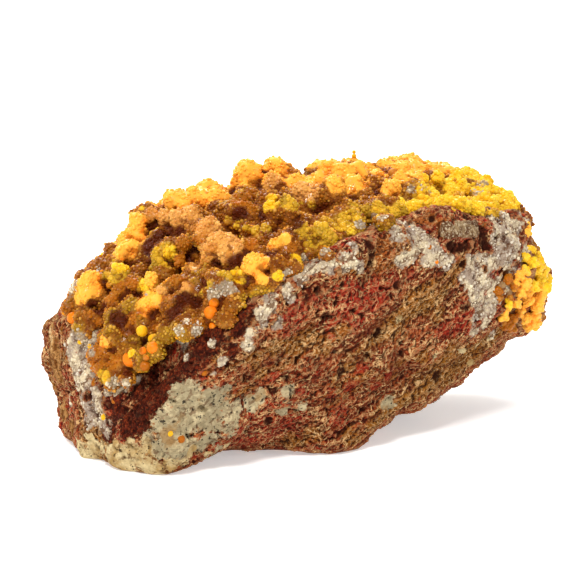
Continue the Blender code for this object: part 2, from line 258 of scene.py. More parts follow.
def pixels_of(points):
    """The photograph's pixel that each point is seen at, and its depth before the camera."""
    offset = points - np.array(camera.location)
    depth = offset @ np.array(-back)
    scale = VIEW_DISTANCE / PIXEL / depth
    u = FRAME_PIXELS / 2 + offset @ np.array(right) * scale
    v = FRAME_PIXELS / 2 - offset @ np.array(up) * scale
    return u, v, depth


def laid_open(points, strokes, before=True):
    """Strokes on the image plane, over the points that stand between camera and rock."""
    u, v, depth = pixels_of(points)
    missed = np.ones(len(points))
    for centre_u, centre_v, radius in strokes:
        mark = 0.5 ** ((np.hypot(u - centre_u, v - centre_v) / radius) ** 2)
        if before:
            rock_point = seen_at(centre_u, centre_v, rock_solid)[0]
            mark *= depth < (rock_point - camera.location).dot(-back) + 1.5 * MM
        missed *= 1 - mark
    return 1 - missed


# The outline's corrections: a pixel, a radius, and how far the outline there is drawn in.
OUTLINE_MOVES = (
    (545, 236, 13, -12, 2), (554, 311, 10, -8, 0), (516, 346, 13, -9, -8), (548, 322, 9, -5, 0),
    (488, 366, 12, -3, -4), (470, 376, 8, -3, -3), (452, 394, 10, -1, -2), (38, 350, 14, 5, 0),
    (552, 258, 10, -5, 1), (556, 275, 10, -6, 0), (54, 424, 11, 4, -1), (54, 398, 9, 6, 0),
    (65, 388, 7, 10, 0), (50, 312, 9, 4, 5), (58, 290, 10, 9, 1), (228, 184, 8, 0, 11),
    (164, 193, 6, 3, 7), (222, 178, 6, 3, 5), (155, 199, 9, 2, 12), (124, 216, 7, 2, 9),
    (100, 246, 9, 5, 9), (304, 170, 7, 0, 13), (338, 158, 8, 0, 4), (370, 158, 8, 0, 11),
    (392, 153, 9, 0, 6), (411, 152, 9, 0, 5), (430, 153, 9, 0, 6), (448, 157, 8, 0, 5),
    (468, 165, 9, -1, 6), (484, 172, 7, 0, 4), (404, 427, 14, -6, -12), (380, 441, 12, -2, -8),
)
FLOOR_CLEARANCE = 2 * MM


def drawn_in(points):
    """Points moved across the line of sight, where the solid stands outside the outline."""
    u, v, depth = pixels_of(points)
    moved = points.copy()
    for centre_u, centre_v, radius, du, dv in OUTLINE_MOVES:
        weight = 0.5 ** ((np.hypot(u - centre_u, v - centre_v) / radius) ** 2) * PIXEL
        if dv > -5:
            weight *= np.clip(points[:, 2] / FLOOR_CLEARANCE - 0.5, 0, 1)
        moved += weight[:, None] * (du * np.array(right) - dv * np.array(up))
    return moved


# Helpers for node trees: a value wraps a socket, and arithmetic on it adds Math nodes.
def operator(operation, swapped=False):
    def applied(self, other):
        first, second = (other, self) if swapped else (self, other)
        return self.maths(operation, {0: first, 1: second})
    return applied


class Value:
    def __init__(self, tree, socket):
        self.tree = tree
        self.socket = socket

    def maths(self, operation, values):
        return self.tree.node("ShaderNodeMath", {"operation": operation}, values)

    __add__, __radd__ = operator("ADD"), operator("ADD", swapped=True)
    __sub__, __rsub__ = operator("SUBTRACT"), operator("SUBTRACT", swapped=True)
    __mul__, __rmul__ = operator("MULTIPLY"), operator("MULTIPLY", swapped=True)
    __pow__ = operator("POWER")
    most = operator("MAXIMUM")

    def size(self):
        return self.maths("ABSOLUTE", {0: self})

    def step(self, low, high):
        """Rises smoothly from 0 to 1 while this value goes from low to high."""
        return self.tree.node("ShaderNodeMapRange", {"interpolation_type": "SMOOTHSTEP"},
                              {"Value": self, "From Min": low, "From Max": high})


class Tree:
    """Builds one node tree, for a material or for Geometry Nodes."""

    def __init__(self, nodes):
        self.nodes = nodes.nodes
        self.links = nodes.links

    def node(self, kind, settings=None, sockets=None, out=0):
        made = self.nodes.new(kind)
        for name, setting in (settings or {}).items():
            setattr(made, name, setting)
        self.fill(made, sockets or {})
        return Value(self, made.outputs[out])

    def fill(self, node, sockets):
        """Gives a node's sockets their constants and links."""
        for name, value in sockets.items():
            if isinstance(value, Value):
                self.links.new(value.socket, node.inputs[name])
            else:
                node.inputs[name].default_value = value

    def mix(self, factor, first, second):
        """A colour between first and second. Mix node colours are its sockets 6 and 7."""
        pair = {}
        for name, colour in ((6, first), (7, second)):
            pair[name] = colour if isinstance(colour, Value) else (*colour, 1)
        return self.node("ShaderNodeMix", {"data_type": "RGBA"}, {0: factor, **pair}, 2)

    def layered(self, colour, *layers):
        """A colour with others laid over it in turn, each by its own factor."""
        for factor, layer in layers:
            colour = self.mix(factor, colour, layer)
        return colour

    def attribute(self, name):
        return self.node("ShaderNodeAttribute", {"attribute_name": name}, out="Fac")

    def field(self, name):
        """The attribute again, as Geometry Nodes read it."""
        return self.node("GeometryNodeInputNamedAttribute", {"data_type": "FLOAT"},
                         {"Name": name})

    def noise(self, place, scale, detail=2.0, rough=0.5, out=0):
        sockets = {"Vector": place, "Scale": scale, "Detail": detail, "Roughness": rough}
        return self.node("ShaderNodeTexNoise", {}, sockets, out)

    def cells(self, place, scale):
        sockets = {"Vector": place, "Scale": scale}
        return self.node("ShaderNodeTexVoronoi", {}, sockets, "Distance")

    def vector(self, operation, first, second):
        return self.node("ShaderNodeVectorMath", {"operation": operation},
                         {0: first, 1: second})

    def scaled(self, vector, factor):
        return self.node("ShaderNodeVectorMath", {"operation": "SCALE"},
                         {0: vector, "Scale": factor})

    def warped(self, place, scale, reach):
        """Place pushed about by noise, to bend the patterns that are read from it."""
        push = self.vector("SUBTRACT", self.noise(place, scale, out="Color"), (0.5, 0.5, 0.5))
        return self.vector("ADD", place, self.vector("MULTIPLY", push, (reach, reach, reach)))

    def grain_noise(self, place, scale, detail=3.0, rough=0.5):
        """Noise on a place that is turned to the broken face's grain, then scaled."""
        turned = self.node("ShaderNodeVectorRotate", {"rotation_type": "Y_AXIS"},
                           {"Vector": place, "Angle": GRAIN})
        return self.noise(self.vector("MULTIPLY", turned, scale), 1.0, detail, rough)

    def ridges(self, place, scale, detail=2.0):
        """1 along thin winding lines in the grain, falling to 0 between them."""
        return 1 - 2 * (self.grain_noise(place, scale, detail) - 0.5).size()

    def wander(self, place):
        """The push that makes the edge of a painted zone ragged."""
        return (self.noise(place, 650.0, 4.0, 0.65) - 0.5) * 1.9

    def cavities(self, place):
        """1 in the little holes of the quartz, which the materials paint dark as shade."""
        return self.noise(place, 260.0, 4.0, 0.7).step(0.58, 0.67)

    def bump(self, height, strength, distance):
        return self.node("ShaderNodeBump", {}, {"Strength": strength, "Distance": distance,
                                                "Height": height})


def new_material(name):
    material = bpy.data.materials.new(name)
    material.use_nodes = True
    tree = Tree(material.node_tree)
    shader = material.node_tree.nodes["Principled BSDF"]
    return material, tree, shader, tree.node("ShaderNodeTexCoord", out="Object")


def new_growth(name, sockets):
    """An empty Geometry Nodes group with the named inputs, its tree, its inlets and its end."""
    group = bpy.data.node_groups.new(name, "GeometryNodeTree")
    for label, kind in {"Geometry": "Geometry", **sockets}.items():
        group.interface.new_socket(label, in_out="INPUT", socket_type="NodeSocket" + kind)
    group.interface.new_socket("Geometry", in_out="OUTPUT", socket_type="NodeSocketGeometry")
    tree = Tree(group)
    start = group.nodes.new("NodeGroupInput")
    inlet = {socket.name: Value(tree, socket) for socket in start.outputs if socket.name}
    return group, tree, inlet, group.nodes.new("NodeGroupOutput")


def grow(piece, group, values):
    """Puts a Geometry Nodes group on a piece with its inputs set, and applies it."""
    modifier = piece.modifiers.new(group.name, "NODES")
    modifier.node_group = group
    for item in group.interface.items_tree:
        if item.in_out == "INPUT" and item.name in values:
            modifier[item.identifier] = values[item.name]
    apply_modifiers(piece)


# The rock. Rusty quartz and limonite, broken in front along a fibrous grain. The solid is
# remeshed, its visible faces are split finely, and noise along the grain cuts the relief.
ROCK_VOXEL = 0.82 * MM
FACE_CUTS = 2
RELIEF_DEPTH = 1.0 * MM
GRAIN = math.radians(28)
# Where the photograph shows each kind of stone, and where it lies dark in gaps and shadow: a pixel
# and a radius, in brush strokes.
ROCK_STROKES = {
    "druse": (
        (94, 335, 9), (80, 342, 10), (74, 355, 9), (84, 362, 10), (80, 378, 9), (72, 402, 8),
        (96, 400, 10), (92, 418, 9), (106, 428, 9), (100, 410, 8), (74, 288, 7), (68, 285, 5),
        (116, 383, 7), (128, 383, 6), (110, 393, 6), (188, 347, 6), (194, 330, 7), (186, 356, 5),
        (268, 308, 9), (262, 318, 7), (272, 298, 6), (246, 345, 7), (250, 335, 5), (222, 362, 6),
        (214, 372, 4), (277, 324, 5), (289, 297, 6), (300, 284, 6), (310, 271, 7), (322, 266, 6),
        (331, 259, 6), (330, 270, 5), (352, 262, 7), (358, 269, 5), (345, 255, 6), (339, 240, 7),
        (352, 245, 6), (357, 236, 6), (367, 228, 7), (375, 223, 6), (390, 226, 7), (402, 224, 6),
        (398, 235, 7), (411, 237, 7), (404, 258, 7), (300, 274, 5), (310, 262, 4), (342, 270, 4),
        (416, 233, 10), (423, 242, 10), (432, 252, 10), (427, 260, 6), (443, 258, 8), (398, 260, 6),
        (412, 256, 6), (452, 255, 7), (465, 257, 7), (475, 268, 8), (470, 275, 7), (487, 262, 9),
        (484, 280, 10), (490, 290, 8), (478, 292, 9), (480, 304, 9), (471, 300, 7), (473, 316, 6),
        (472, 332, 6), (484, 325, 5), (497, 238, 10), (500, 250, 10), (512, 246, 9), (509, 229, 8),
        (524, 247, 8), (522, 260, 7), (503, 264, 8), (498, 280, 7), (500, 300, 6), (517, 203, 5),
        (524, 219, 6), (490, 312, 5), (518, 312, 4), (490, 218, 8), (504, 216, 8), (515, 226, 8),
        (500, 233, 12), (512, 240, 10), (488, 244, 7), (478, 258, 8), (496, 258, 10), (470, 272, 9),
        (462, 277, 6), (472, 286, 7), (492, 304, 6), (478, 312, 6), (486, 322, 7), (492, 334, 6),
        (520, 208, 6), (448, 264, 6), (86, 345, 10), (78, 350, 10), (84, 370, 10), (92, 390, 8),
        (86, 404, 9), (98, 414, 9), (178, 334, 7), (190, 338, 7), (172, 340, 5), (122, 380, 8),
        (114, 390, 7), (136, 378, 5), (520, 284, 4), (508, 290, 4), (520, 300, 3), (212, 345, 4),
        (512, 270, 5), (299, 277, 4), (287, 290, 4), (256, 330, 4),
    ),
    "pale": (
        (195, 398, 15), (206, 404, 12), (182, 412, 11), (206, 420, 13), (170, 440, 11),
        (186, 436, 10), (160, 450, 9), (175, 456, 9), (216, 394, 9), (228, 418, 9), (232, 406, 7),
        (251, 402, 10), (262, 393, 6), (286, 390, 8), (303, 405, 7), (282, 411, 7), (243, 428, 6),
        (212, 438, 8), (188, 388, 6), (388, 400, 7), (391, 408, 6), (384, 404, 5), (226, 388, 5),
        (158, 426, 7), (168, 415, 8), (150, 437, 7), (178, 400, 8), (172, 428, 8), (198, 446, 9),
        (214, 448, 8), (178, 390, 6), (166, 446, 9), (184, 450, 8), (232, 432, 7),
    ),
    "cream": (
        (80, 452, 9), (95, 458, 10), (110, 460, 11), (134, 456, 11), (126, 468, 10), (94, 447, 7),
        (70, 438, 5), (148, 466, 10), (118, 449, 7), (160, 474, 7), (208, 452, 6), (226, 442, 5),
        (190, 450, 6), (90, 438, 6), (104, 446, 7), (120, 446, 6), (134, 446, 7), (147, 442, 6),
        (78, 444, 7), (170, 464, 8), (184, 462, 7), (66, 430, 4), (433, 354, 4), (462, 350, 5),
        (478, 343, 5), (488, 340, 4), (470, 362, 4), (398, 318, 4),
    ),
    "maroon": (
        (146, 408, 13), (158, 392, 13), (172, 376, 13), (130, 426, 10), (112, 438, 6),
        (190, 362, 11), (140, 388, 9), (206, 350, 9), (236, 308, 10), (246, 298, 8), (214, 338, 10),
        (203, 340, 9), (232, 350, 6), (228, 322, 9), (154, 372, 7), (240, 330, 7), (218, 318, 7),
        (120, 412, 9), (112, 426, 8), (128, 432, 7), (142, 424, 8), (106, 436, 5), (118, 400, 7),
        # These strokes, beside and below the slab and in gaps, paint shadow in maroon.
        (308, 291, 4), (326, 245, 5), (314, 254, 5), (368, 246, 5), (484, 232, 5), (484, 246, 5),
        (462, 247, 5), (450, 247, 5),
    ),
    "ochre": (
        (309, 338, 12), (292, 346, 9), (275, 345, 9), (324, 346, 9), (340, 330, 8), (315, 432, 11),
        (425, 304, 12), (440, 296, 9), (449, 350, 12), (463, 362, 12), (421, 356, 8),
        (425, 388, 11), (447, 378, 11), (476, 352, 9), (492, 342, 8), (404, 398, 8), (350, 436, 11),
        (380, 424, 8), (290, 440, 9), (255, 362, 7), (436, 316, 8), (500, 330, 7), (262, 372, 6),
    ),
    "crimson": (
        (299, 314, 7), (293, 324, 7), (286, 333, 6), (273, 376, 6), (302, 391, 7), (338, 412, 11),
        (350, 384, 9), (447, 326, 6), (456, 321, 6), (465, 317, 5), (438, 331, 5), (360, 300, 7),
        (345, 286, 6), (204, 373, 6), (181, 439, 3), (278, 402, 4), (120, 436, 5), (376, 385, 7),
        (361, 366, 6), (330, 392, 6), (390, 372, 6), (312, 300, 5), (335, 292, 7), (353, 288, 7),
        (372, 284, 7), (392, 278, 7), (412, 276, 6), (320, 303, 6), (346, 304, 6), (298, 306, 5),
        (380, 297, 6), (290, 318, 7), (452, 324, 7), (440, 330, 6), (460, 318, 6),
    ),
    "rust": (
        (384, 247, 8), (379, 256, 7), (390, 240, 6), (405, 245, 5), (338, 263, 3), (376, 268, 5),
        (428, 217, 8), (416, 222, 6), (440, 222, 7), (452, 220, 6), (484, 224, 4), (495, 296, 5),
        (507, 277, 5), (443, 234, 5), (209, 372, 5), (420, 180, 1), (317, 255, 6), (340, 252, 4),
        (436, 262, 3), (171, 434, 3),
    ),
    # Dark gaps, pits and the shadow under the slab: painted shade, let down a little in the relief.
    "dark": (
        (450, 246, 4), (458, 247, 4), (466, 246, 4), (480, 243, 4), (484, 237, 4), (461, 263, 5),
        (483, 269, 3), (465, 306, 4), (437, 376, 6), (395, 285, 4), (376, 332, 5), (341, 371, 6),
        (287, 379, 4), (273, 392, 4), (316, 291, 4), (324, 317, 5), (109, 406, 4), (268, 420, 5),
        (303, 287, 3), (452, 246, 4), (460, 246, 4), (468, 246, 4), (475, 244, 4), (482, 247, 4),
        (480, 237, 4), (466, 218, 4), (473, 216, 4), (370, 262, 4), (360, 250, 3), (78, 395, 3),
        (86, 398, 3), (318, 254, 5), (400, 352, 4), (327, 244, 5), (307, 258, 4), (368, 246, 5),
        (370, 254, 4), (381, 230, 3), (346, 248, 3), (394, 222, 3), (487, 249, 4), (481, 228, 4),
        (484, 240, 4), (447, 247, 4), (454, 248, 4), (472, 250, 3), (418, 214, 4), (432, 219, 4),
        (446, 216, 3), (466, 216, 4), (474, 217, 4), (500, 270, 3), (497, 318, 3), (110, 404, 5),
        (90, 396, 4), (300, 262, 3),
    ),
    "knob": (
        (50, 342, 13), (54, 358, 13), (58, 375, 9), (54, 326, 10), (60, 402, 6), (62, 414, 8),
        (74, 427, 8), (88, 436, 6),
    ),
    "slab": tuple((u, v - (u - 442) * 0.06, 3.5)
                  for u in range(444, 477, 5) for v in (226, 231, 236)),
    "seat": (
        (540, 262, 9), (546, 276, 10), (536, 276, 10), (541, 294, 10), (528, 285, 9), (526, 268, 8),
        (538, 310, 10), (530, 322, 10), (518, 305, 9), (508, 322, 9), (506, 302, 7), (514, 286, 8),
        (500, 288, 7), (508, 275, 6), (516, 330, 7), (530, 232, 7), (534, 250, 6),
    ),
}
# On the sides out of view: how many patches of a zone, and their least and greatest radius.
HIDDEN_PATCHES = {
    "druse": (26, 1.2, 3.6), "pale": (8, 1.5, 4.0), "cream": (6, 1.5, 3.5),
    "maroon": (16, 2.0, 5.0), "ochre": (22, 2.0, 5.0), "crimson": (14, 1.0, 2.5),
    "rust": (12, 1.0, 3.0), "dark": (24, 0.5, 1.2), "knob": (22, 2.5, 6.0),
}
# Where the broken face stands in front of the crust, which is cut back there.
BARE = (
    (140, 390, 9), (152, 378, 9), (164, 366, 9), (176, 354, 8), (128, 404, 9), (118, 414, 9),
    (188, 346, 7), (200, 336, 7), (152, 398, 9), (172, 376, 9), (186, 362, 8), (112, 402, 6),
    (164, 346, 5), (176, 338, 5), (190, 330, 5), (138, 380, 5), (212, 328, 6), (122, 388, 6),
    (134, 374, 4), (150, 364, 4), (205, 320, 4),
)

hidden_dice = random.Random(7)


def hidden_patches(points, hidden, count, low, high):
    """Invented patches for the sides that the photograph doesn't show."""
    far_side = np.nonzero(hidden > 0.6)[0]
    missed = np.ones(len(points))
    for _ in range(count):
        centre = points[far_side[hidden_dice.randrange(len(far_side))]]
        radius = hidden_dice.uniform(low, high)
        distance = np.linalg.norm(points - centre, axis=1) / radius
        missed *= 1 - 0.5 ** (distance ** 2)
    return (1 - missed) * hidden


def refine_visible(piece, solid_above, cuts):
    """Splits the faces that face the camera side and aren't under the crust."""
    form = bmesh.new()
    form.from_mesh(piece.data)
    edges = set()
    centres = [face.calc_center_median() for face in form.faces]
    opened = laid_open(np.array(centres), BARE) > 0.4
    for face, centre, bare in zip(form.faces, centres, opened):
        if face.normal.dot(back) < -0.2 or centre.z < 0.4 * MM:
            continue
        if bare or solid_above.find_nearest(centre, 0.6 * MM)[0] is None:
            edges.update(face.edges)
    bmesh.ops.subdivide_edges(form, edges=list(edges), cuts=cuts, use_grid_fill=True)
    bmesh.ops.triangulate(form, faces=[face for face in form.faces if len(face.verts) > 4])
    form.to_mesh(piece.data)
    form.free()


rock = merged_copy("matrix", "matrix_rock")
grow_together(rock, ROCK_VOXEL, 3)
refine_visible(rock, crust_solid, FACE_CUTS)
rock_points = drawn_in(points_of(rock.data))
move_points(rock.data, rock_points)
facing = normals_of(rock.data) @ np.array(back)
rock_hidden = np.clip(0.4 - facing * 2.5, 0, 1)
dark_spots = painted(rock_points, ROCK_STROKES["dark"], rock_solid)
for zone, strokes in ROCK_STROKES.items():
    field = painted(rock_points, strokes, rock_solid)
    if zone in ("druse", "pale", "cream"):
        field = np.clip(field * 0.85 - dark_spots * 0.9, 0, 1)
    count, low, high = HIDDEN_PATCHES.get(zone, (0, 0, 0))
    patches = hidden_patches(rock_points, rock_hidden, count, low * MM, high * MM)
    if zone == "druse":
        patches *= np.clip(rock_points[:, 2] / MM - 0.6, 0, 1)
    keep_attribute(rock.data, zone, np.maximum(field, patches))

group, tree, inlet, end = new_growth("rock_relief", {"Depth": "Float"})
place = tree.node("GeometryNodeInputPosition")
normal = tree.node("GeometryNodeInputNormal")
wander = tree.wander(place)
druse = (tree.field("druse") + wander).step(0.42, 0.6)
smooth_zone = (tree.field("pale").most(tree.field("cream")) + wander).step(0.4, 0.6)
slab = tree.field("slab").step(0.4, 0.6)
dark = (tree.field("dark") + wander).step(0.4, 0.8)
knob = tree.field("knob").step(0.4, 0.6)
rust = tree.field("rust").step(0.4, 0.7)
seat = tree.field("seat").step(0.35, 0.65)
fibrous = 1 - druse.most(smooth_zone * 0.8).most(slab * 0.8).most(rust * 0.6)
bent = tree.warped(place, 450.0, 1.1 * MM)
grooves = tree.grain_noise(bent, (170.0, 450.0, 520.0)) - 0.5
folds = tree.ridges(bent, (600.0, 1250.0, 1300.0))
ledges = tree.grain_noise(bent, (70.0, 260.0, 200.0), 2.0).step(0.46, 0.54)
grit = tree.noise(place, 1900.0) - 0.5
lumps = 1 - tree.cells(place, 420.0).step(0.0, 0.85)
grains = 1 - tree.cells(place, 950.0).step(0.0, 0.8)
pits = tree.noise(bent, 520.0).step(0.6, 0.72)
relief = (fibrous * (grooves * 1.15 + ledges * 0.4 + folds ** 3 * 0.2 + grit * 0.95 - pits * 0.7)
          + druse * (lumps * 0.35 + grains * 0.2 + 0.1 - tree.cavities(place) * 0.5)
          + smooth_zone * (grooves * 1.8 + grit * 0.7 + 0.2 - pits * 0.9)
          + knob * (tree.noise(place, 330.0, 3.0) - 0.5) * 2.2
          + slab * 0.6 - dark * 0.45)
settled = tree.node("ShaderNodeSeparateXYZ", {}, {0: place}, "Z").step(0.0, 1.6 * MM)
lift = (relief * (1 - 0.8 * seat) - 0.5 * seat) * settled * inlet["Depth"]
moved = tree.node("GeometryNodeSetPosition", {},
                  {"Geometry": inlet["Geometry"], "Offset": tree.scaled(normal, lift)})
tree.fill(end, {"Geometry": moved})
grow(rock, group, {"Depth": RELIEF_DEPTH})
keep_attribute(rock.data, "fine_hollow", hollowness(rock.data, 4, 0.10 * MM))
keep_attribute(rock.data, "broad_hollow", hollowness(rock.data, 30, 0.4 * MM))

BRICK = (0.23, 0.031, 0.009)
DULL_RED = (0.13, 0.022, 0.009)
TAN = (0.42, 0.145, 0.036)
ROSE = (0.31, 0.057, 0.018)
OCHRE = (0.27, 0.10, 0.012)
STRAW = (0.68, 0.42, 0.18)
CRIMSON = (0.33, 0.018, 0.010)
MAROON = (0.12, 0.014, 0.004)
MAROON_SHADE = (0.05, 0.006, 0.003)
# The dark of shaded pits and hollows, painted into the colour.
PIT_SHADE = (0.020, 0.004, 0.002)

rock_stone, tree, shader, place = new_material("rusty_quartz")
wander = tree.wander(place)
# Hollowness: it lays painted shade in the hollows and a painted highlight on the ridges.
fine = tree.attribute("fine_hollow")
broad = tree.attribute("broad_hollow")


def zone_mask(name, soft=0.08, reach=1.0):
    return (tree.attribute(name) + reach * wander).step(0.5 - soft, 0.5 + soft)


bent = tree.warped(place, 700.0, 0.8 * MM)
fray = tree.warped(place, 900.0, 1.1 * MM)
curl = tree.warped(place, 700.0, 2.2 * MM)
mottle = tree.grain_noise(fray, (1300.0, 2600.0, 2600.0), 3.0, 0.65)
medium = tree.grain_noise(bent, (420.0, 1000.0, 1000.0), 4.0, 0.65)
streaks = tree.grain_noise(bent, (110.0, 380.0, 420.0), 3.0, 0.65)
bands = tree.grain_noise(bent, (45.0, 150.0, 170.0), 3.0, 0.55)
threads = tree.ridges(curl, (560.0, 1250.0, 1250.0))
veins = tree.ridges(curl, (170.0, 360.0, 360.0), 3.0)
salt = tree.noise(place, 2700.0, 2.0, 0.7)
dust = tree.noise(place, 900.0, 4.0, 0.7)
stains = tree.noise(bent, 190.0, 4.0, 0.65).step(0.55, 0.66)
specks = tree.noise(place, 1300.0, 2.0, 0.6).step(0.63, 0.67)
specks = specks.most(tree.noise(fray, 620.0, 3.0, 0.6).step(0.645, 0.67))
maroon = zone_mask("maroon", 0.15)
crimson = zone_mask("crimson", 0.15)
quiet = 1 - (0.95 * maroon).most(0.45 * crimson)
lit = quiet * streaks.step(0.66, 0.42)
dark_red = tree.layered(
    MAROON_SHADE,
    (medium.step(0.4, 0.62), MAROON),
    # Fine red sparkle in the maroon: painted highlights.
    (salt.step(0.55, 0.68) * 0.45, (0.38, 0.07, 0.014)))
red = tree.layered(
    BRICK,
    (tree.noise(place, 210.0, 3.0).step(0.42, 0.6), ROSE),
    (bands.step(0.55, 0.62) * 0.85, OCHRE),
    (bands.step(0.47, 0.41) * 0.9, CRIMSON),
    (streaks.step(0.5, 0.62) * 0.8, DULL_RED),
    (medium.step(0.54, 0.68) * quiet * 0.35, TAN),
    (zone_mask("ochre", 0.2) * 0.75, OCHRE),
    (crimson * 0.7, CRIMSON),
    (zone_mask("rust", 0.15) * 0.85, (0.32, 0.085, 0.014)),
    (maroon, dark_red),
    (mottle.step(0.56, 0.72) * lit * 0.5, TAN),
    # Noise lays the dark of little pits here: painted shade.
    (medium.step(0.47, 0.35) * 0.6, PIT_SHADE),
    (mottle.step(0.51, 0.37) * 0.9, PIT_SHADE),
    (salt.step(0.56, 0.72) * quiet * 0.4, TAN),
    (salt.step(0.48, 0.34) * 0.75, PIT_SHADE),
    ((threads ** 14).step(0.3, 0.85) * lit * 0.55, STRAW),
    ((veins ** 34).step(0.3, 0.85) * quiet * 0.9, STRAW),
    # Straw on the ridges: pale fibres, and a painted highlight.
    ((0 - fine).step(0.35, 1.0) * quiet * 0.25, STRAW),
    # Painted shade in the fine hollows.
    (fine.step(0.1, 0.9) * 0.8, PIT_SHADE))
bedding = tree.noise(tree.vector("MULTIPLY", bent, (900.0, 900.0, 190.0)), 1.0, 3.0, 0.6)
brown = tree.layered(
    (0.16, 0.055, 0.012),
    (bedding.step(0.4, 0.58), (0.44, 0.22, 0.07)),
    (bedding.step(0.57, 0.66) * 0.8, (0.68, 0.48, 0.24)),
    (mottle.step(0.48, 0.36) * 0.8, (0.04, 0.012, 0.005)))
white = tree.layered(
    (0.67, 0.55, 0.36),
    (tree.noise(place, 420.0, 4.0, 0.65).step(0.4, 0.6), (0.35, 0.265, 0.195)),
    (medium.step(0.52, 0.4) * 0.85, (0.12, 0.05, 0.02)),
    # Painted shade in the druse's fine hollows.
    (fine.step(0.2, 1.0) * 0.6, (0.16, 0.11, 0.09)),
    # Painted shade in the quartz's little holes.
    (tree.cavities(place) * 0.85, (0.09, 0.03, 0.014)))
pale = tree.layered(
    (0.38, 0.31, 0.18),
    (tree.noise(bent, 260.0, 4.0, 0.6).step(0.4, 0.6), (0.62, 0.50, 0.29)),
    (dust.step(0.56, 0.44) * 0.5, (0.25, 0.19, 0.10)),
    (medium.step(0.47, 0.37) * 0.8, (0.15, 0.08, 0.04)),
    (stains * 0.7, (0.30, 0.17, 0.06)),
    (specks * 0.92, (0.03, 0.024, 0.018)))
cream = tree.layered(
    (0.70, 0.56, 0.30),
    (tree.noise(bent, 300.0, 4.0, 0.6).step(0.42, 0.62), (0.42, 0.26, 0.09)),
    (dust.step(0.56, 0.44) * 0.4, (0.36, 0.24, 0.10)),
    (medium.step(0.46, 0.36) * 0.8, (0.16, 0.08, 0.03)),
    (stains * 0.6, (0.34, 0.19, 0.05)),
    (specks * 0.92, (0.05, 0.03, 0.015)))
grey = tree.layered(
    (0.09, 0.035, 0.015),
    (medium.step(0.40, 0.62), (0.29, 0.19, 0.095)),
    (salt.step(0.5, 0.66) * 0.75, (0.60, 0.48, 0.31)))
cluster_seat = tree.mix(medium.step(0.45, 0.6), (0.20, 0.05, 0.008), (0.55, 0.36, 0.16))
stone = tree.layered(
    red,
    (zone_mask("knob", 0.1, 0.6), brown),
    (zone_mask("druse", 0.14), white),
    (zone_mask("pale", 0.1), pale),
    (zone_mask("cream", 0.1), cream),
    (zone_mask("slab", 0.1, 0.3), grey),
    (zone_mask("seat", 0.1, 0.5) * 0.75, cluster_seat),
    # The dark strokes: painted shade in gaps and painted shadow under the slab.
    (zone_mask("dark", 0.25) * 0.8, (0.03, 0.007, 0.003)),
    # Painted shade in the broad hollows.
    (broad.step(0.2, 1.0) * 0.5, PIT_SHADE))
roughened = mottle * 1.1 + 0.5 * threads ** 4 + medium + dust * 0.8
tree.fill(shader, {"Base Color": stone, "Roughness": 0.8, "Specular IOR Level": 0.05,
                   "Normal": tree.bump(roughened, 1.0, 0.22 * MM)})


def dress(piece, material=None, node=None):
    """A scattered piece has its material."""
    if material:
        piece.data.materials.clear()
        piece.data.materials.append(material)
        piece.data.shade_smooth()
    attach(piece, "root")
    if node:
        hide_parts(node)


dress(rock, rock_stone, "matrix")

# The crust's body. Lobes of mimetite grown together over the rock: the solid, let down a
# little and hollowed in its recesses, the lobes seen in the photograph, and smaller ones.
CRUST_BASE_VOXEL = 0.6 * MM
LOBE_VOXEL = 0.5 * MM
CRUST_VOXEL = 0.40 * MM
LET_DOWN = 0.75 * MM
THINNEST = 0.35 * MM
HEAP = 4.6 * MM
LOOSEST_LOBE = 3.5 * MM
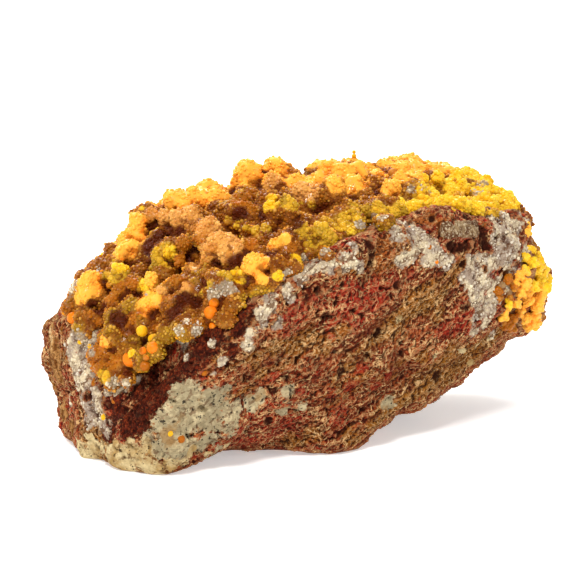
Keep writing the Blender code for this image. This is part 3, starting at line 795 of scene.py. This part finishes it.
# The lobes that the photograph shows, then the hollows between them and in the skyline.
LOBES = {
    "orange": (
        (172, 197, 9), (184, 205, 7), (193, 195, 8), (203, 200, 9), (216, 193, 7), (226, 195, 6),
        (248, 173, 13), (275, 168, 11), (296, 178, 7), (317, 177, 6), (320, 180, 9), (334, 186, 11),
        (338, 177, 7), (353, 184, 9), (347, 171, 8), (358, 168, 8), (386, 162, 7), (403, 169, 9),
        (415, 169, 8), (400, 179, 7), (431, 166, 6), (443, 166, 7), (450, 170, 7), (391, 187, 8),
        (411, 179, 7), (138, 221, 8), (136, 232, 7), (125, 238, 7), (124, 251, 8), (130, 257, 6),
        (91, 279, 8), (83, 284, 6), (81, 298, 6), (151, 305, 10), (160, 301, 7), (150, 278, 6),
        (252, 263, 8), (264, 261, 5), (274, 246, 7), (262, 280, 6), (285, 238, 6), (106, 342, 6),
    ),
    "peach": (
        (255, 181, 8), (272, 183, 9), (301, 190, 8), (313, 194, 10), (308, 183, 7), (221, 247, 13),
        (211, 250, 9), (232, 248, 8), (194, 224, 9), (209, 227, 9), (191, 213, 7), (286, 188, 6),
        (152, 216, 7), (164, 217, 7), (177, 217, 6), (162, 291, 6),
    ),
    "yellow": (
        (272, 199, 5), (270, 208, 5), (103, 260, 6), (95, 263, 3), (171, 255, 5), (147, 288, 6),
        (237, 273, 5), (240, 283, 6), (351, 232, 4), (327, 167, 7), (334, 165, 5), (437, 177, 6),
        (425, 204, 7), (418, 205, 5), (294, 264, 6), (307, 251, 4), (506, 201, 9), (510, 209, 6),
        (490, 178, 4), (475, 203, 4), (492, 201, 5), (502, 214, 5), (471, 176, 6), (457, 175, 7),
        (143, 209, 4), (218, 186, 4), (132, 245, 4), (491, 192, 6), (278, 276, 5), (132, 353, 4),
    ),
    "olive": (
        (231, 221, 6), (236, 227, 4), (158, 253, 6), (157, 266, 6), (301, 230, 7), (324, 222, 6),
        (321, 230, 7), (340, 227, 6), (366, 211, 6), (391, 213, 6), (378, 208, 5), (354, 214, 5),
        (121, 272, 8), (109, 278, 8), (116, 263, 5), (166, 247, 5), (288, 203, 7), (300, 205, 4),
        (267, 230, 4), (255, 232, 4), (245, 229, 4), (348, 208, 7), (334, 246, 5), (312, 240, 5),
        (420, 180, 7), (460, 186, 8), (450, 192, 7), (446, 204, 6), (456, 206, 6), (312, 205, 5),
        (220, 275, 4), (204, 293, 5), (107, 380, 4), (440, 211, 5), (452, 212, 5), (463, 212, 5),
        (476, 212, 6), (486, 215, 6), (495, 214, 6), (505, 218, 6), (430, 209, 5), (418, 210, 5),
        (405, 213, 5), (392, 216, 4), (378, 219, 4), (362, 222, 4),
    ),
    "amber": (
        (105, 347, 6), (107, 354, 7), (117, 363, 7), (101, 368, 6), (97, 384, 7), (241, 201, 9),
        (252, 197, 8), (250, 208, 6), (250, 244, 6), (258, 276, 5), (250, 277, 5), (282, 253, 5),
        (292, 249, 5), (376, 176, 7), (184, 243, 7), (201, 240, 7), (113, 302, 6), (99, 320, 5),
        (91, 312, 4), (180, 262, 6), (192, 268, 6), (178, 282, 7), (190, 288, 6), (208, 262, 5),
        (492, 216, 6), (99, 292, 6), (120, 290, 6), (134, 284, 6), (135, 318, 6), (126, 330, 6),
    ),
}
# The recesses are also painted dark red as shade.
RECESSES = (
    (100, 312, 6), (116, 318, 6), (157, 238, 10), (166, 231, 6), (150, 246, 7), (280, 218, 8),
    (240, 214, 6), (295, 221, 7), (308, 213, 5), (272, 254, 5), (257, 248, 4), (91, 303, 4),
    (108, 306, 4), (165, 319, 6), (176, 312, 5), (228, 233, 4), (230, 262, 6), (241, 258, 5),
    (216, 263, 4), (182, 298, 6), (196, 303, 6), (120, 322, 5), (140, 296, 5), (433, 184, 3),
    (370, 217, 4), (136, 340, 4), (122, 348, 4), (128, 372, 5), (205, 281, 5), (182, 231, 4),
    (264, 219, 4),
)
DIPS = (
    (228, 190, 6), (164, 202, 6), (126, 221, 6), (113, 243, 7), (303, 170, 6), (372, 165, 6),
    (101, 256, 4), (380, 156, 4), (424, 158, 5), (461, 164, 5),
)
# Colour beyond the lobes, quartz dust on them, and colour that shows only at the skyline.
WASHES = {
    "orange": (
        (180, 200, 12), (198, 198, 12), (214, 198, 9), (132, 232, 10), (125, 248, 10),
        (248, 172, 14), (276, 168, 12), (296, 178, 8), (328, 180, 14), (345, 182, 13),
        (354, 172, 11), (388, 163, 8), (404, 170, 12), (420, 170, 9), (446, 167, 12),
        (152, 303, 12), (88, 281, 9), (392, 187, 9), (254, 263, 9), (84, 296, 6), (190, 200, 16),
        (262, 172, 18), (345, 178, 18), (400, 168, 16), (440, 165, 14), (300, 176, 12),
        (420, 164, 12), (412, 178, 9), (370, 168, 10), (92, 292, 8), (135, 240, 12),
    ),
    "peach": (
        (256, 184, 9), (274, 186, 10), (302, 189, 9), (315, 196, 10), (222, 248, 15),
        (200, 225, 13), (158, 216, 10), (176, 217, 8), (186, 212, 8), (196, 268, 7), (183, 288, 7),
        (238, 236, 6),
    ),
    "yellow": (
        (440, 184, 11), (456, 188, 13), (470, 196, 12), (446, 201, 11), (484, 192, 9),
        (500, 204, 11), (426, 196, 10), (408, 200, 8), (120, 268, 9), (171, 252, 7), (272, 205, 7),
        (148, 284, 8), (294, 262, 6), (506, 212, 8), (464, 178, 9), (510, 222, 6), (238, 278, 6),
        (240, 222, 5), (448, 182, 17), (468, 190, 18), (490, 196, 16), (430, 196, 14),
        (450, 204, 14), (410, 206, 10), (474, 208, 12), (500, 210, 12), (490, 203, 9),
        (425, 183, 10),
    ),
    "olive": (
        (342, 222, 8), (324, 228, 9), (305, 233, 8), (158, 262, 7), (378, 210, 8), (360, 213, 7),
        (116, 276, 9), (330, 238, 8), (312, 245, 7), (290, 204, 8), (350, 218, 8), (262, 231, 7),
        (212, 284, 6), (230, 275, 6), (470, 210, 7), (400, 208, 7), (374, 214, 6), (168, 262, 6),
        (104, 376, 7),
    ),
    "amber": (
        (108, 350, 14), (100, 366, 9), (97, 384, 8), (242, 202, 10), (376, 176, 8), (110, 302, 9),
        (126, 292, 9), (280, 254, 7), (252, 246, 7), (130, 326, 9), (492, 217, 6), (155, 330, 7),
        (172, 298, 6),
    ),
}
FROST = (
    (187, 323, 4), (196, 330, 6), (180, 330, 5), (222, 287, 8), (212, 296, 6), (232, 291, 5),
    (300, 266, 5), (290, 270, 4), (285, 274, 4), (312, 258, 5), (325, 252, 5), (350, 243, 5),
    (370, 218, 6), (360, 226, 6), (382, 219, 5), (81, 342, 9), (75, 333, 7), (92, 353, 5),
    (116, 383, 7), (125, 384, 5), (100, 269, 4), (106, 267, 3), (74, 288, 7), (476, 192, 5),
    (482, 184, 6), (500, 189, 5), (514, 199, 6), (410, 189, 5), (420, 188, 4), (432, 191, 4),
    (494, 224, 6), (485, 221, 5), (524, 222, 6), (527, 212, 4), (340, 239, 4), (303, 258, 4),
)
SKYLINE = {
    "orange": (
        (300, 160, 9), (315, 158, 9), (330, 156, 9), (345, 153, 8), (380, 153, 9), (395, 151, 9),
        (410, 153, 9), (425, 155, 9), (440, 157, 9), (454, 162, 8), (158, 196, 9), (172, 190, 9),
        (190, 187, 9), (210, 186, 9), (228, 184, 8), (250, 164, 10), (275, 159, 10), (130, 220, 8),
        (117, 236, 8), (365, 158, 8),
    ),
    "yellow": ((470, 170, 9), (484, 174, 9), (495, 182, 9), (506, 190, 8), (514, 200, 7)),
}


def unit_ball(detail):
    form = bmesh.new()
    bmesh.ops.create_icosphere(form, subdivisions=detail, radius=1)
    points = np.array([vertex.co for vertex in form.verts])
    faces = [[vertex.index for vertex in face.verts] for face in form.faces]
    form.free()
    return points, faces


def join_balls(piece, balls, detail):
    """Adds balls, each a centre and a radius, to a piece's mesh."""
    ball, ball_faces = unit_ball(detail)
    points = [points_of(piece.data)]
    faces = [list(face.vertices) for face in piece.data.polygons]
    start = len(piece.data.vertices)
    for centre, radius in balls:
        points.append(ball * radius + np.array(centre))
        faces += [[start + corner for corner in face] for face in ball_faces]
        start += len(ball)
    mesh = bpy.data.meshes.new(piece.name)
    mesh.from_pydata(np.concatenate(points).tolist(), [], faces)
    piece.data = mesh



def spread_out(points, candidates, spacing, dice):
    """Picks candidates in random order, none nearer than spacing to another."""
    order = list(candidates)
    dice.shuffle(order)
    around = list(itertools.product((-1, 0, 1), repeat=3))
    grid = {}
    picked = []
    for index in order:
        cell = tuple(int(value // spacing) for value in points[index])
        near = [other for step in around
                for other in grid.get(tuple(map(sum, zip(cell, step))), ())]
        if all(np.sum((points[index] - points[other]) ** 2) > spacing ** 2 for other in near):
            grid.setdefault(cell, []).append(index)
            picked.append(index)
    return picked


def sized(strokes, factor):
    return [(u, v, radius * factor) for u, v, radius in strokes]


def place_drawn_in(point):
    return Vector(drawn_in(np.array([point]))[0])


def grow_lobes(points, candidates, spacing, radii, sunk, voxel, seen=(), detail=3, smooth=0):
    """Grows random lobes and the seen ones into the crust. Radii are in mm, and sunk is the
    share of its radius that a lobe is let into the surface."""
    normals = normals_of(crust_body.data)
    shares = np.broadcast_to(sunk, len(points))
    balls = []
    for index in spread_out(points, candidates, spacing, lobe_dice):
        radius = lobe_dice.uniform(*radii) * MM
        balls.append((points[index] - normals[index] * radius * shares[index], radius))
    balls += seen
    join_balls(crust_body, balls, detail)
    grow_together(crust_body, voxel, smooth)
    return points_of(crust_body.data), balls


crust_body = merged_copy("mimetite_crust", "mimetite_body")
grow_together(crust_body, CRUST_BASE_VOXEL, 0)
points = points_of(crust_body.data)
normals = normals_of(crust_body.data)
nearest = [rock_solid.find_nearest(Vector(point)) for point in points]
away = points - np.array([found[0] for found in nearest])
depth = np.linalg.norm(away, axis=1)
away /= np.maximum(depth, 1e-6)[:, None]
outer = np.clip(((normals * away).sum(axis=1) - 0.1) * 4, 0, 1)
recess = np.clip(painted(points, RECESSES + DIPS, whole_solid) * 2.2 - 0.7, 0, 1)
bare = np.clip(laid_open(points, BARE) * 5 - 2, 0, 1)
heaps = np.array([noise.voronoi(Vector(point) / HEAP)[0][0] for point in points])
valley = np.clip((heaps - 0.45) * 4, 0, 1)
down = LET_DOWN + np.maximum(recess * 2.3, valley * 1.4) * MM
down = np.minimum(down, np.maximum(depth - THINNEST, 0))
points -= (normals + away) * 0.5 * (outer * down * (1 - bare))[:, None]
for index in np.nonzero(bare > 0.02)[0]:
    sight = Vector(points[index]) - camera.location
    found = rock_solid.ray_cast(camera.location, sight)[0]
    if found is not None:
        short = (found - camera.location).length + 1.2 * MM - sight.length
        points[index] += np.array(sight.normalized()) * max(short, 0) * bare[index]
points = drawn_in(points)
move_points(crust_body.data, points)
lobe_dice = random.Random(19)
kept_out = np.maximum(np.maximum(recess, bare), valley * 0.8)
seen = []
for u, v, radius in itertools.chain(*LOBES.values()):
    point, aim = seen_at(u, v, whole_solid)
    if crust_solid.find_nearest(point)[3] < LOOSEST_LOBE:
        seen.append((place_drawn_in(point) + aim * radius * PIXEL * 0.45, radius * PIXEL))
candidates = np.nonzero((outer > 0.6) & (kept_out < 0.35))[0]
points, _ = grow_lobes(points, candidates, 2.6 * MM, (1.0, 1.8), 0.25, LOBE_VOXEL, seen)
large_lobes = sized([lobe for lobe in LOBES["orange"] if lobe[2] > 7], 0.9)
candidates = np.nonzero(painted(points, large_lobes, whole_solid) > 0.5)[0]
points, _ = grow_lobes(points, candidates, 1.25 * MM, (0.7, 1.0), 0.6, LOBE_VOXEL)
smooth_lobes = painted(points, sized(LOBES["orange"], 0.8), whole_solid)
outer = [rock_solid.find_nearest(Vector(point))[3] > 0.7 * MM for point in points]
candidates = np.nonzero(np.array(outer) & (painted(points, DIPS, whole_solid) < 0.5)
                        & (laid_open(points, BARE) < 0.4))[0]
points, balls = grow_lobes(points, candidates, 0.95 * MM, (0.42, 0.8),
                           0.1 + 0.9 * smooth_lobes, CRUST_VOXEL, detail=2, smooth=1)
ripple = np.array([noise.noise(Vector(point) * 900) * 0.12
                   + noise.noise(Vector(point) * 2100) * 0.06 for point in points])
move_points(crust_body.data, points + normals_of(crust_body.data) * (ripple * MM)[:, None])
lobe_tree = KDTree(len(balls))
for index, (centre, radius) in enumerate(balls):
    lobe_tree.insert(Vector(centre), index)
lobe_tree.balance()
lobe_shade = [lobe_dice.random() for _ in balls]


def paint_crust(piece):
    """Colour zones on a piece of crust, and where it is sugary, beaded or frosted."""
    mesh = piece.data
    points = points_of(mesh)
    hidden = np.clip(0.4 - (normals_of(mesh) @ np.array(back)) * 2.5, 0, 1)
    fields = {}
    for colour, lobes in LOBES.items():
        patches = hidden_patches(points, hidden, 26, 1.0 * MM, 3.4 * MM)
        seen = painted(points, lobes + WASHES[colour], whole_solid)
        seen = np.maximum(seen, laid_open(points, SKYLINE.get(colour, ()), before=False))
        fields[colour] = np.maximum(seen, patches)
        keep_attribute(mesh, colour, fields[colour])
    # Hollowness and recesses, where the material paints shade and a deeper orange.
    hollow = hollowness(mesh, 40, 0.75 * MM)
    keep_attribute(mesh, "broad_hollow", hollow)
    keep_attribute(mesh, "fine_hollow", hollowness(mesh, 6, 0.16 * MM))
    keep_attribute(mesh, "recess", painted(points, sized(RECESSES, 1.25), whole_solid))
    shades = [lobe_shade[lobe_tree.find(Vector(point))[1]] for point in points]
    keep_attribute(mesh, "lobe_shade", shades)
    frost = painted(points, FROST, whole_solid)
    waxy = np.maximum(fields["orange"], fields["amber"] * 0.7)
    smooth = np.clip(waxy * 3 - 1.2, 0, 1) * np.clip(0.9 - hollow * 2, 0, 1)
    keep_attribute(mesh, "sugar", np.clip(1 - smooth * 0.55 - frost * 0.6, 0.04, 1))
    keep_attribute(mesh, "crest", np.clip(hidden * 1.4, 0, 1))
    keep_attribute(mesh, "beaded", np.clip(np.maximum(fields["yellow"], fields["olive"]), 0, 1))
    keep_attribute(mesh, "frost", frost)


paint_crust(crust_body)

GOLD = (0.32, 0.098, 0.003)
BROWN_GOLD = (0.15, 0.036, 0.002)
TAN_SUGAR = (0.32, 0.105, 0.009)
OLIVE_GOLD = (0.42, 0.24, 0.010)
SUGAR_GAP_SHADE = (0.15, 0.035, 0.002)
PALE_SUGAR_AND_GLINT = (0.70, 0.37, 0.06)
DEEP_ORANGE = (0.88, 0.205, 0.006)
BRIGHT_ORANGE = (1.0, 0.44, 0.048)
PEACH = (0.52, 0.19, 0.024)
PALE_PEACH = (0.76, 0.37, 0.09)
YELLOW = (0.83, 0.445, 0.008)
LEMON = (0.82, 0.53, 0.030)
OLIVE = (0.38, 0.215, 0.011)
AMBER = (0.40, 0.11, 0.004)
GAP_SHADE = (0.16, 0.036, 0.003)
RECESS_SHADE = (0.075, 0.010, 0.0015)


def mimetite_material(name, kind):
    """Waxy mimetite, its colour by zone. Kind is lobe, grain or bead."""
    material, tree, shader, place = new_material(name)
    wander = (tree.noise(place, 500.0, 3.0) - 0.5) * 0.7

    def zone(label):
        return (tree.attribute(label) + wander).step(0.38, 0.62)

    mottle = tree.noise(place, 700.0)
    tint = mottle.step(0.3, 0.7) if kind == "lobe" else tree.attribute("tint")
    shade = tree.attribute("lobe_shade")
    hollow = tree.attribute("broad_hollow")
    gap = tree.attribute("fine_hollow")
    colour = tree.layered(
        BROWN_GOLD,
        (shade.step(0.0, 0.45), GOLD),
        (shade.step(0.55, 0.85), TAN_SUGAR),
        (tree.noise(place, 120.0, 3.0).step(0.52, 0.64) * 0.8, OLIVE_GOLD),
        (tree.attribute("crest") * 0.85,
         tree.mix(shade, (0.85, 0.27, 0.006), (0.95, 0.42, 0.02))))
    if kind == "lobe":
        # The body under the grains is darker: painted shade in the gaps between grains.
        colour = tree.mix(tree.attribute("sugar").step(0.4, 1.0) * 0.6, colour, SUGAR_GAP_SHADE)
    if kind == "grain":
        # Pale grains: lighter sugar, and painted glints.
        colour = tree.layered(colour, (tint.step(0.7, 1.0) * 0.55, PALE_SUGAR_AND_GLINT),
                              (tint.step(0.4, 0.0) * 0.45, BROWN_GOLD))
    dip = (tree.attribute("recess") + wander * 0.6).step(0.3, 0.65)
    # glow: the orange and yellow zones, whose gaps are painted a warm glow as though lit through
    # the wax.
    glow = tree.attribute("orange").most(tree.attribute("yellow")).step(0.4, 0.8)
    frost = (tree.attribute("frost") + wander).step(0.4, 0.7)
    colour = tree.layered(
        colour,
        (zone("amber"), tree.mix(shade, AMBER, GOLD)),
        (zone("olive") * 0.9, tree.mix(shade, OLIVE, (0.74, 0.42, 0.02))),
        (zone("yellow"), tree.mix(shade, YELLOW, LEMON)),
        (zone("peach"), tree.mix(shade, PEACH, PALE_PEACH)),
        # Orange: deeper in hollows as painted shade, and at random.
        (zone("orange"), tree.mix((hollow + (mottle - shade)).step(-0.25, 0.75),
                                  BRIGHT_ORANGE, DEEP_ORANGE)),
        # Pale patches: lighter sugar, and painted glints.
        (tint.step(0.5, 1.0) * 0.2, PALE_SUGAR_AND_GLINT),
        # Gaps between lobes and grains: painted shade, warm where it glows.
        (gap.step(0.0, 0.7) * (0.35 if kind == "bead" else 0.75),
         tree.mix(glow, GAP_SHADE, (0.42, 0.13, 0.003))),
        # Painted shade in the hollows and recesses.
        (hollow.step(0.1, 0.85).most(dip) * 0.95, RECESS_SHADE),
        (frost * (0.35 if kind == "bead" else 0.85), (0.34, 0.26, 0.17)))
    tree.fill(shader, {
        "Base Color": colour, "Roughness": 0.4, "Specular IOR Level": 0.07,
        "Coat Weight": (1 - dip.most(hollow.step(0.0, 0.5))) * 0.13, "Coat Roughness": 0.08,
        "Subsurface Weight": 0.2, "Subsurface Radius": (1.0, 0.45, 0.12),
        "Subsurface Scale": 0.8 * MM,
        "Normal": tree.bump(tree.noise(place, 3000.0, 2.0, 0.6), 0.6, 0.1 * MM)})
    return material


lobe_wax = mimetite_material("mimetite_lobes", "lobe")
grain_wax = mimetite_material("mimetite_grains", "grain")
bead_wax = mimetite_material("mimetite_beads", "bead")
dress(crust_body, lobe_wax, "mimetite_crust")

# Grains and beads. Geometry Nodes scatters little balls over a surface, with a random size,
# turn and tint: sugary grains over the crust, and larger beads where it is yellow.
SCATTER_INPUTS = {
    "Form": "Object", "Where": "String", "Low": "Float", "From": "Float", "To": "Float",
    "Spacing": "Float", "Smallest": "Float", "Largest": "Float", "Sink": "Float",
    "Seed": "Int", "Finish": "Material",
}
FULL_TURN = 6.28
MOST_PER_M2 = 1.2e7
group, tree, inlet, end = new_growth("scatter", SCATTER_INPUTS)
place = tree.node("GeometryNodeInputPosition")
along = tree.node("ShaderNodeSeparateXYZ", {}, {0: place}, "X")
after = tree.node("FunctionNodeCompare", {"data_type": "FLOAT", "operation": "GREATER_EQUAL"},
                  {0: along, 1: inlet["From"]})
before = tree.node("FunctionNodeCompare", {"data_type": "FLOAT", "operation": "LESS_THAN"},
                   {0: along, 1: inlet["To"]})
chosen = tree.node("FunctionNodeBooleanMath", {"operation": "AND"}, {0: after, 1: before})
ragged = tree.field(inlet["Where"]) + tree.wander(place)
dense = tree.node("ShaderNodeMapRange", {}, {"Value": ragged, "From Min": inlet["Low"],
                                             "From Max": inlet["Low"] + 0.2})
scattered = tree.node("GeometryNodeDistributePointsOnFaces", {"distribute_method": "POISSON"},
                      {"Mesh": inlet["Geometry"], "Selection": chosen,
                       "Distance Min": inlet["Spacing"], "Density Max": MOST_PER_M2,
                       "Density Factor": dense, "Seed": inlet["Seed"]})
normal = Value(tree, scattered.socket.node.outputs["Normal"])
chance = tree.node("FunctionNodeRandomValue", {"data_type": "FLOAT"}, {"Seed": 3}, 1)
size = inlet["Smallest"] + (inlet["Largest"] - inlet["Smallest"]) * chance ** 1.7
sinking = tree.scaled(normal, size * inlet["Sink"] * -1)
scattered = tree.node("GeometryNodeSetPosition", {}, {"Geometry": scattered, "Offset": sinking})
form = tree.node("GeometryNodeObjectInfo", {"transform_space": "ORIGINAL"},
                 {"Object": inlet["Form"]}, "Geometry")
turn = tree.node("FunctionNodeRandomValue", {"data_type": "FLOAT_VECTOR"},
                 {0: (0, 0, 0), 1: (FULL_TURN,) * 3, "Seed": 5}, 0)
placed = tree.node("GeometryNodeInstanceOnPoints", {},
                   {"Points": scattered, "Instance": form, "Rotation": turn, "Scale": size})
tint = tree.node("FunctionNodeRandomValue", {"data_type": "FLOAT"}, {"Seed": 8}, 1)
tinted = tree.node("GeometryNodeStoreNamedAttribute",
                   {"data_type": "FLOAT", "domain": "INSTANCE"},
                   {"Geometry": placed, "Name": "tint", "Value": tint})
real = tree.node("GeometryNodeRealizeInstances", {}, {0: tinted})
finished = tree.node("GeometryNodeSetMaterial", {}, {0: real, "Material": inlet["Finish"]})
tree.fill(end, {"Geometry": finished})


def small_form(name, detail, roughness, smooth):
    """A ball of 20 or 80 faces, its corners pushed in and out by up to roughness."""
    points, faces = unit_ball(detail)
    dice = random.Random(3)
    points = [point * (1 + dice.uniform(-roughness, roughness)) for point in points]
    mesh = bpy.data.meshes.new(name)
    mesh.from_pydata([tuple(point) for point in points], [], faces)
    if smooth:
        mesh.shade_smooth()
    return new_piece(name, mesh)


def scatter(name, surface, form, where, low, sizes, seed, finish,
            reach=(-60, 60), sink=0.0):
    """A piece of little balls. Sizes are the spacing, smallest and largest radius in mm."""
    piece = new_piece(name, surface.data.copy())
    spacing, smallest, largest = (size * MM for size in sizes)
    grow(piece, group, {
        "Form": form, "Where": where, "Low": low, "From": reach[0] * MM, "To": reach[1] * MM,
        "Spacing": spacing, "Smallest": smallest, "Largest": largest, "Sink": sink,
        "Seed": seed, "Finish": finish})
    dress(piece)


grain = small_form("grain_form", 1, 0.08, True)
bead = small_form("bead_form", 2, 0.04, True)
crystal = small_form("crystal_form", 1, 0.35, False)
THIRDS = (("left", -60, -19), ("middle", -19, 7), ("right", 7, 60))
for number, (side, low, high) in enumerate(THIRDS):
    scatter("mimetite_grains_" + side, crust_body, grain, "sugar", 0.3,
            (0.47, 0.16, 0.42), 5 + number, grain_wax, reach=(low, high))
scatter("mimetite_beads", crust_body, bead, "beaded", 0.4, (1.0, 0.3, 0.65), 11,
        bead_wax, sink=0.25)

# Quartz. Crystals a fraction of a millimetre across, over the druse patches of the rock and
# along the crust's lower edge, flat-faced so that they glitter.
quartz, tree, shader, place = new_material("druse_quartz")
tint = tree.attribute("tint")
colour = tree.layered(
    (0.69, 0.58, 0.39),
    (tree.noise(place, 420.0, 4.0, 0.65).step(0.4, 0.6), (0.41, 0.33, 0.255)),
    (tint.step(0.7, 1.0) * 0.5, (0.80, 0.72, 0.58)),
    (tint.step(0.4, 0.0) * 0.8, (0.22, 0.14, 0.08)),
    # Painted shade in the quartz's little holes.
    (tree.cavities(place) * 0.8, (0.12, 0.045, 0.02)))
tree.fill(shader, {
    "Base Color": colour, "Roughness": 0.35, "Specular IOR Level": 0.35,
    "Subsurface Weight": 0.1, "Subsurface Radius": (1.0, 1.0, 1.0),
    "Subsurface Scale": 0.4 * MM})
scatter("quartz_on_rock", rock, crystal, "druse", 0.5, (0.42, 0.13, 0.34), 2,
        quartz)
scatter("quartz_on_crust", crust_body, crystal, "frost", 0.35,
        (0.46, 0.18, 0.42), 4, quartz)

# The end cluster. A smaller patch of yellow and orange lobes on the rock's right end, grown
# like the crust, with its own grains and beads.
CLUSTER_VOXEL = 0.3 * MM
CLUSTER_LET_DOWN = 0.6 * MM
CLUSTER_LOBES = {
    "yellow": (
        (540, 262, 6), (547, 270, 5), (548, 280, 6), (543, 288, 7), (536, 276, 9), (531, 262, 6),
        (524, 258, 5), (533, 250, 5), (538, 256, 5), (541, 298, 6), (530, 285, 7), (524, 270, 5),
        (535, 268, 7), (508, 306, 4),
    ),
    "orange": (
        (540, 306, 7), (537, 313, 6), (532, 320, 8), (524, 318, 6), (528, 325, 6), (537, 325, 5),
        (526, 300, 6), (515, 303, 5), (533, 296, 6), (529, 233, 5), (529, 227, 4), (518, 275, 5),
        (524, 283, 6), (502, 316, 5),
    ),
    "amber": (
        (507, 278, 5), (513, 285, 5), (514, 330, 5), (505, 324, 6), (504, 313, 4), (509, 299, 4),
        (498, 298, 4), (496, 290, 5), (519, 292, 5), (512, 318, 5), (519, 310, 5), (527, 291, 5),
    ),
}


def own_colours(mesh, lobes_by_colour, spread):
    """Colour zones around a piece's own lobes alone."""
    points = points_of(mesh)
    for colour in LOBES:
        own = sized(lobes_by_colour.get(colour, ()), spread)
        keep_attribute(mesh, colour, painted(points, own, whole_solid))
    return points


end_body = merged_copy("mimetite_end_cluster", "end_cluster_body")
mesh = end_body.data
move_points(mesh, drawn_in(points_of(mesh) - normals_of(mesh) * CLUSTER_LET_DOWN))
balls = []
for u, v, radius in itertools.chain(*CLUSTER_LOBES.values()):
    point = seen_at(u, v, whole_solid)[0]
    normal = whole_solid.find_nearest(point)[1]
    balls.append((place_drawn_in(point) + normal * radius * PIXEL * 0.4, radius * PIXEL))
join_balls(end_body, balls, 3)
grow_together(end_body, CLUSTER_VOXEL, 1)
mesh = end_body.data
points = own_colours(mesh, CLUSTER_LOBES, 1.8)
keep_attribute(mesh, "broad_hollow", hollowness(mesh, 40, 0.75 * MM))
keep_attribute(mesh, "sugar", np.full(len(points), 0.4))
keep_attribute(mesh, "beaded", np.full(len(points), 0.7))
end_shade = np.array([noise.noise(Vector(point) * 700) for point in points])
keep_attribute(mesh, "lobe_shade", np.clip(0.5 + end_shade * 1.2, 0, 1))
dress(end_body, lobe_wax, "mimetite_end_cluster")
scatter("end_cluster_grains", end_body, grain, "sugar", 0.3,
        (0.45, 0.15, 0.28), 9, grain_wax)
scatter("end_cluster_beads", end_body, bead, "beaded", 0.4,
        (0.9, 0.3, 0.6), 12, bead_wax, sink=0.25)

# Loose balls. Round mimetite balls that grew singly on the rock and on the quartz, each
# fused to what it sits on.
BALLS = {
    "orange": (
        (73, 318, 6), (78, 327, 6), (131, 359, 8), (153, 348, 6), (211, 313, 7), (213, 326, 4),
        (436, 262, 2.5), (409, 229, 3),
    ),
    "yellow": (
        (142, 331, 5.5), (153, 339, 5), (80, 342, 2.5), (91, 346, 3.5), (105, 417, 4),
        (187, 323, 3), (171, 434, 3), (354, 156, 2.5), (354, 152, 2),
    ),
    "amber": (
        (143, 351, 4), (146, 358, 3), (145, 366, 5), (115, 401, 3.5), (181, 439, 4), (429, 247, 3),
        (424, 405, 3), (106, 398, 3), (214, 303, 5), (204, 373, 3),
    ),
    "peach": ((393, 173, 5),),
}
ball_piece = new_piece("mimetite_balls", bpy.data.meshes.new("mimetite_balls"))
balls = []
for u, v, radius in itertools.chain(*BALLS.values()):
    point, aim = seen_at(u, v, whole_solid)
    balls.append((point + aim * radius * PIXEL * 0.15, radius * PIXEL))
join_balls(ball_piece, balls, 3)
points = own_colours(ball_piece.data, BALLS, 1.7)
# A fixed hollowness: the balls get a deeper orange and a little painted shade.
keep_attribute(ball_piece.data, "broad_hollow", np.full(len(points), 0.26))
dress(ball_piece, lobe_wax)

for form in (grain, bead, crystal):
    bpy.data.objects.remove(form, do_unlink=True)
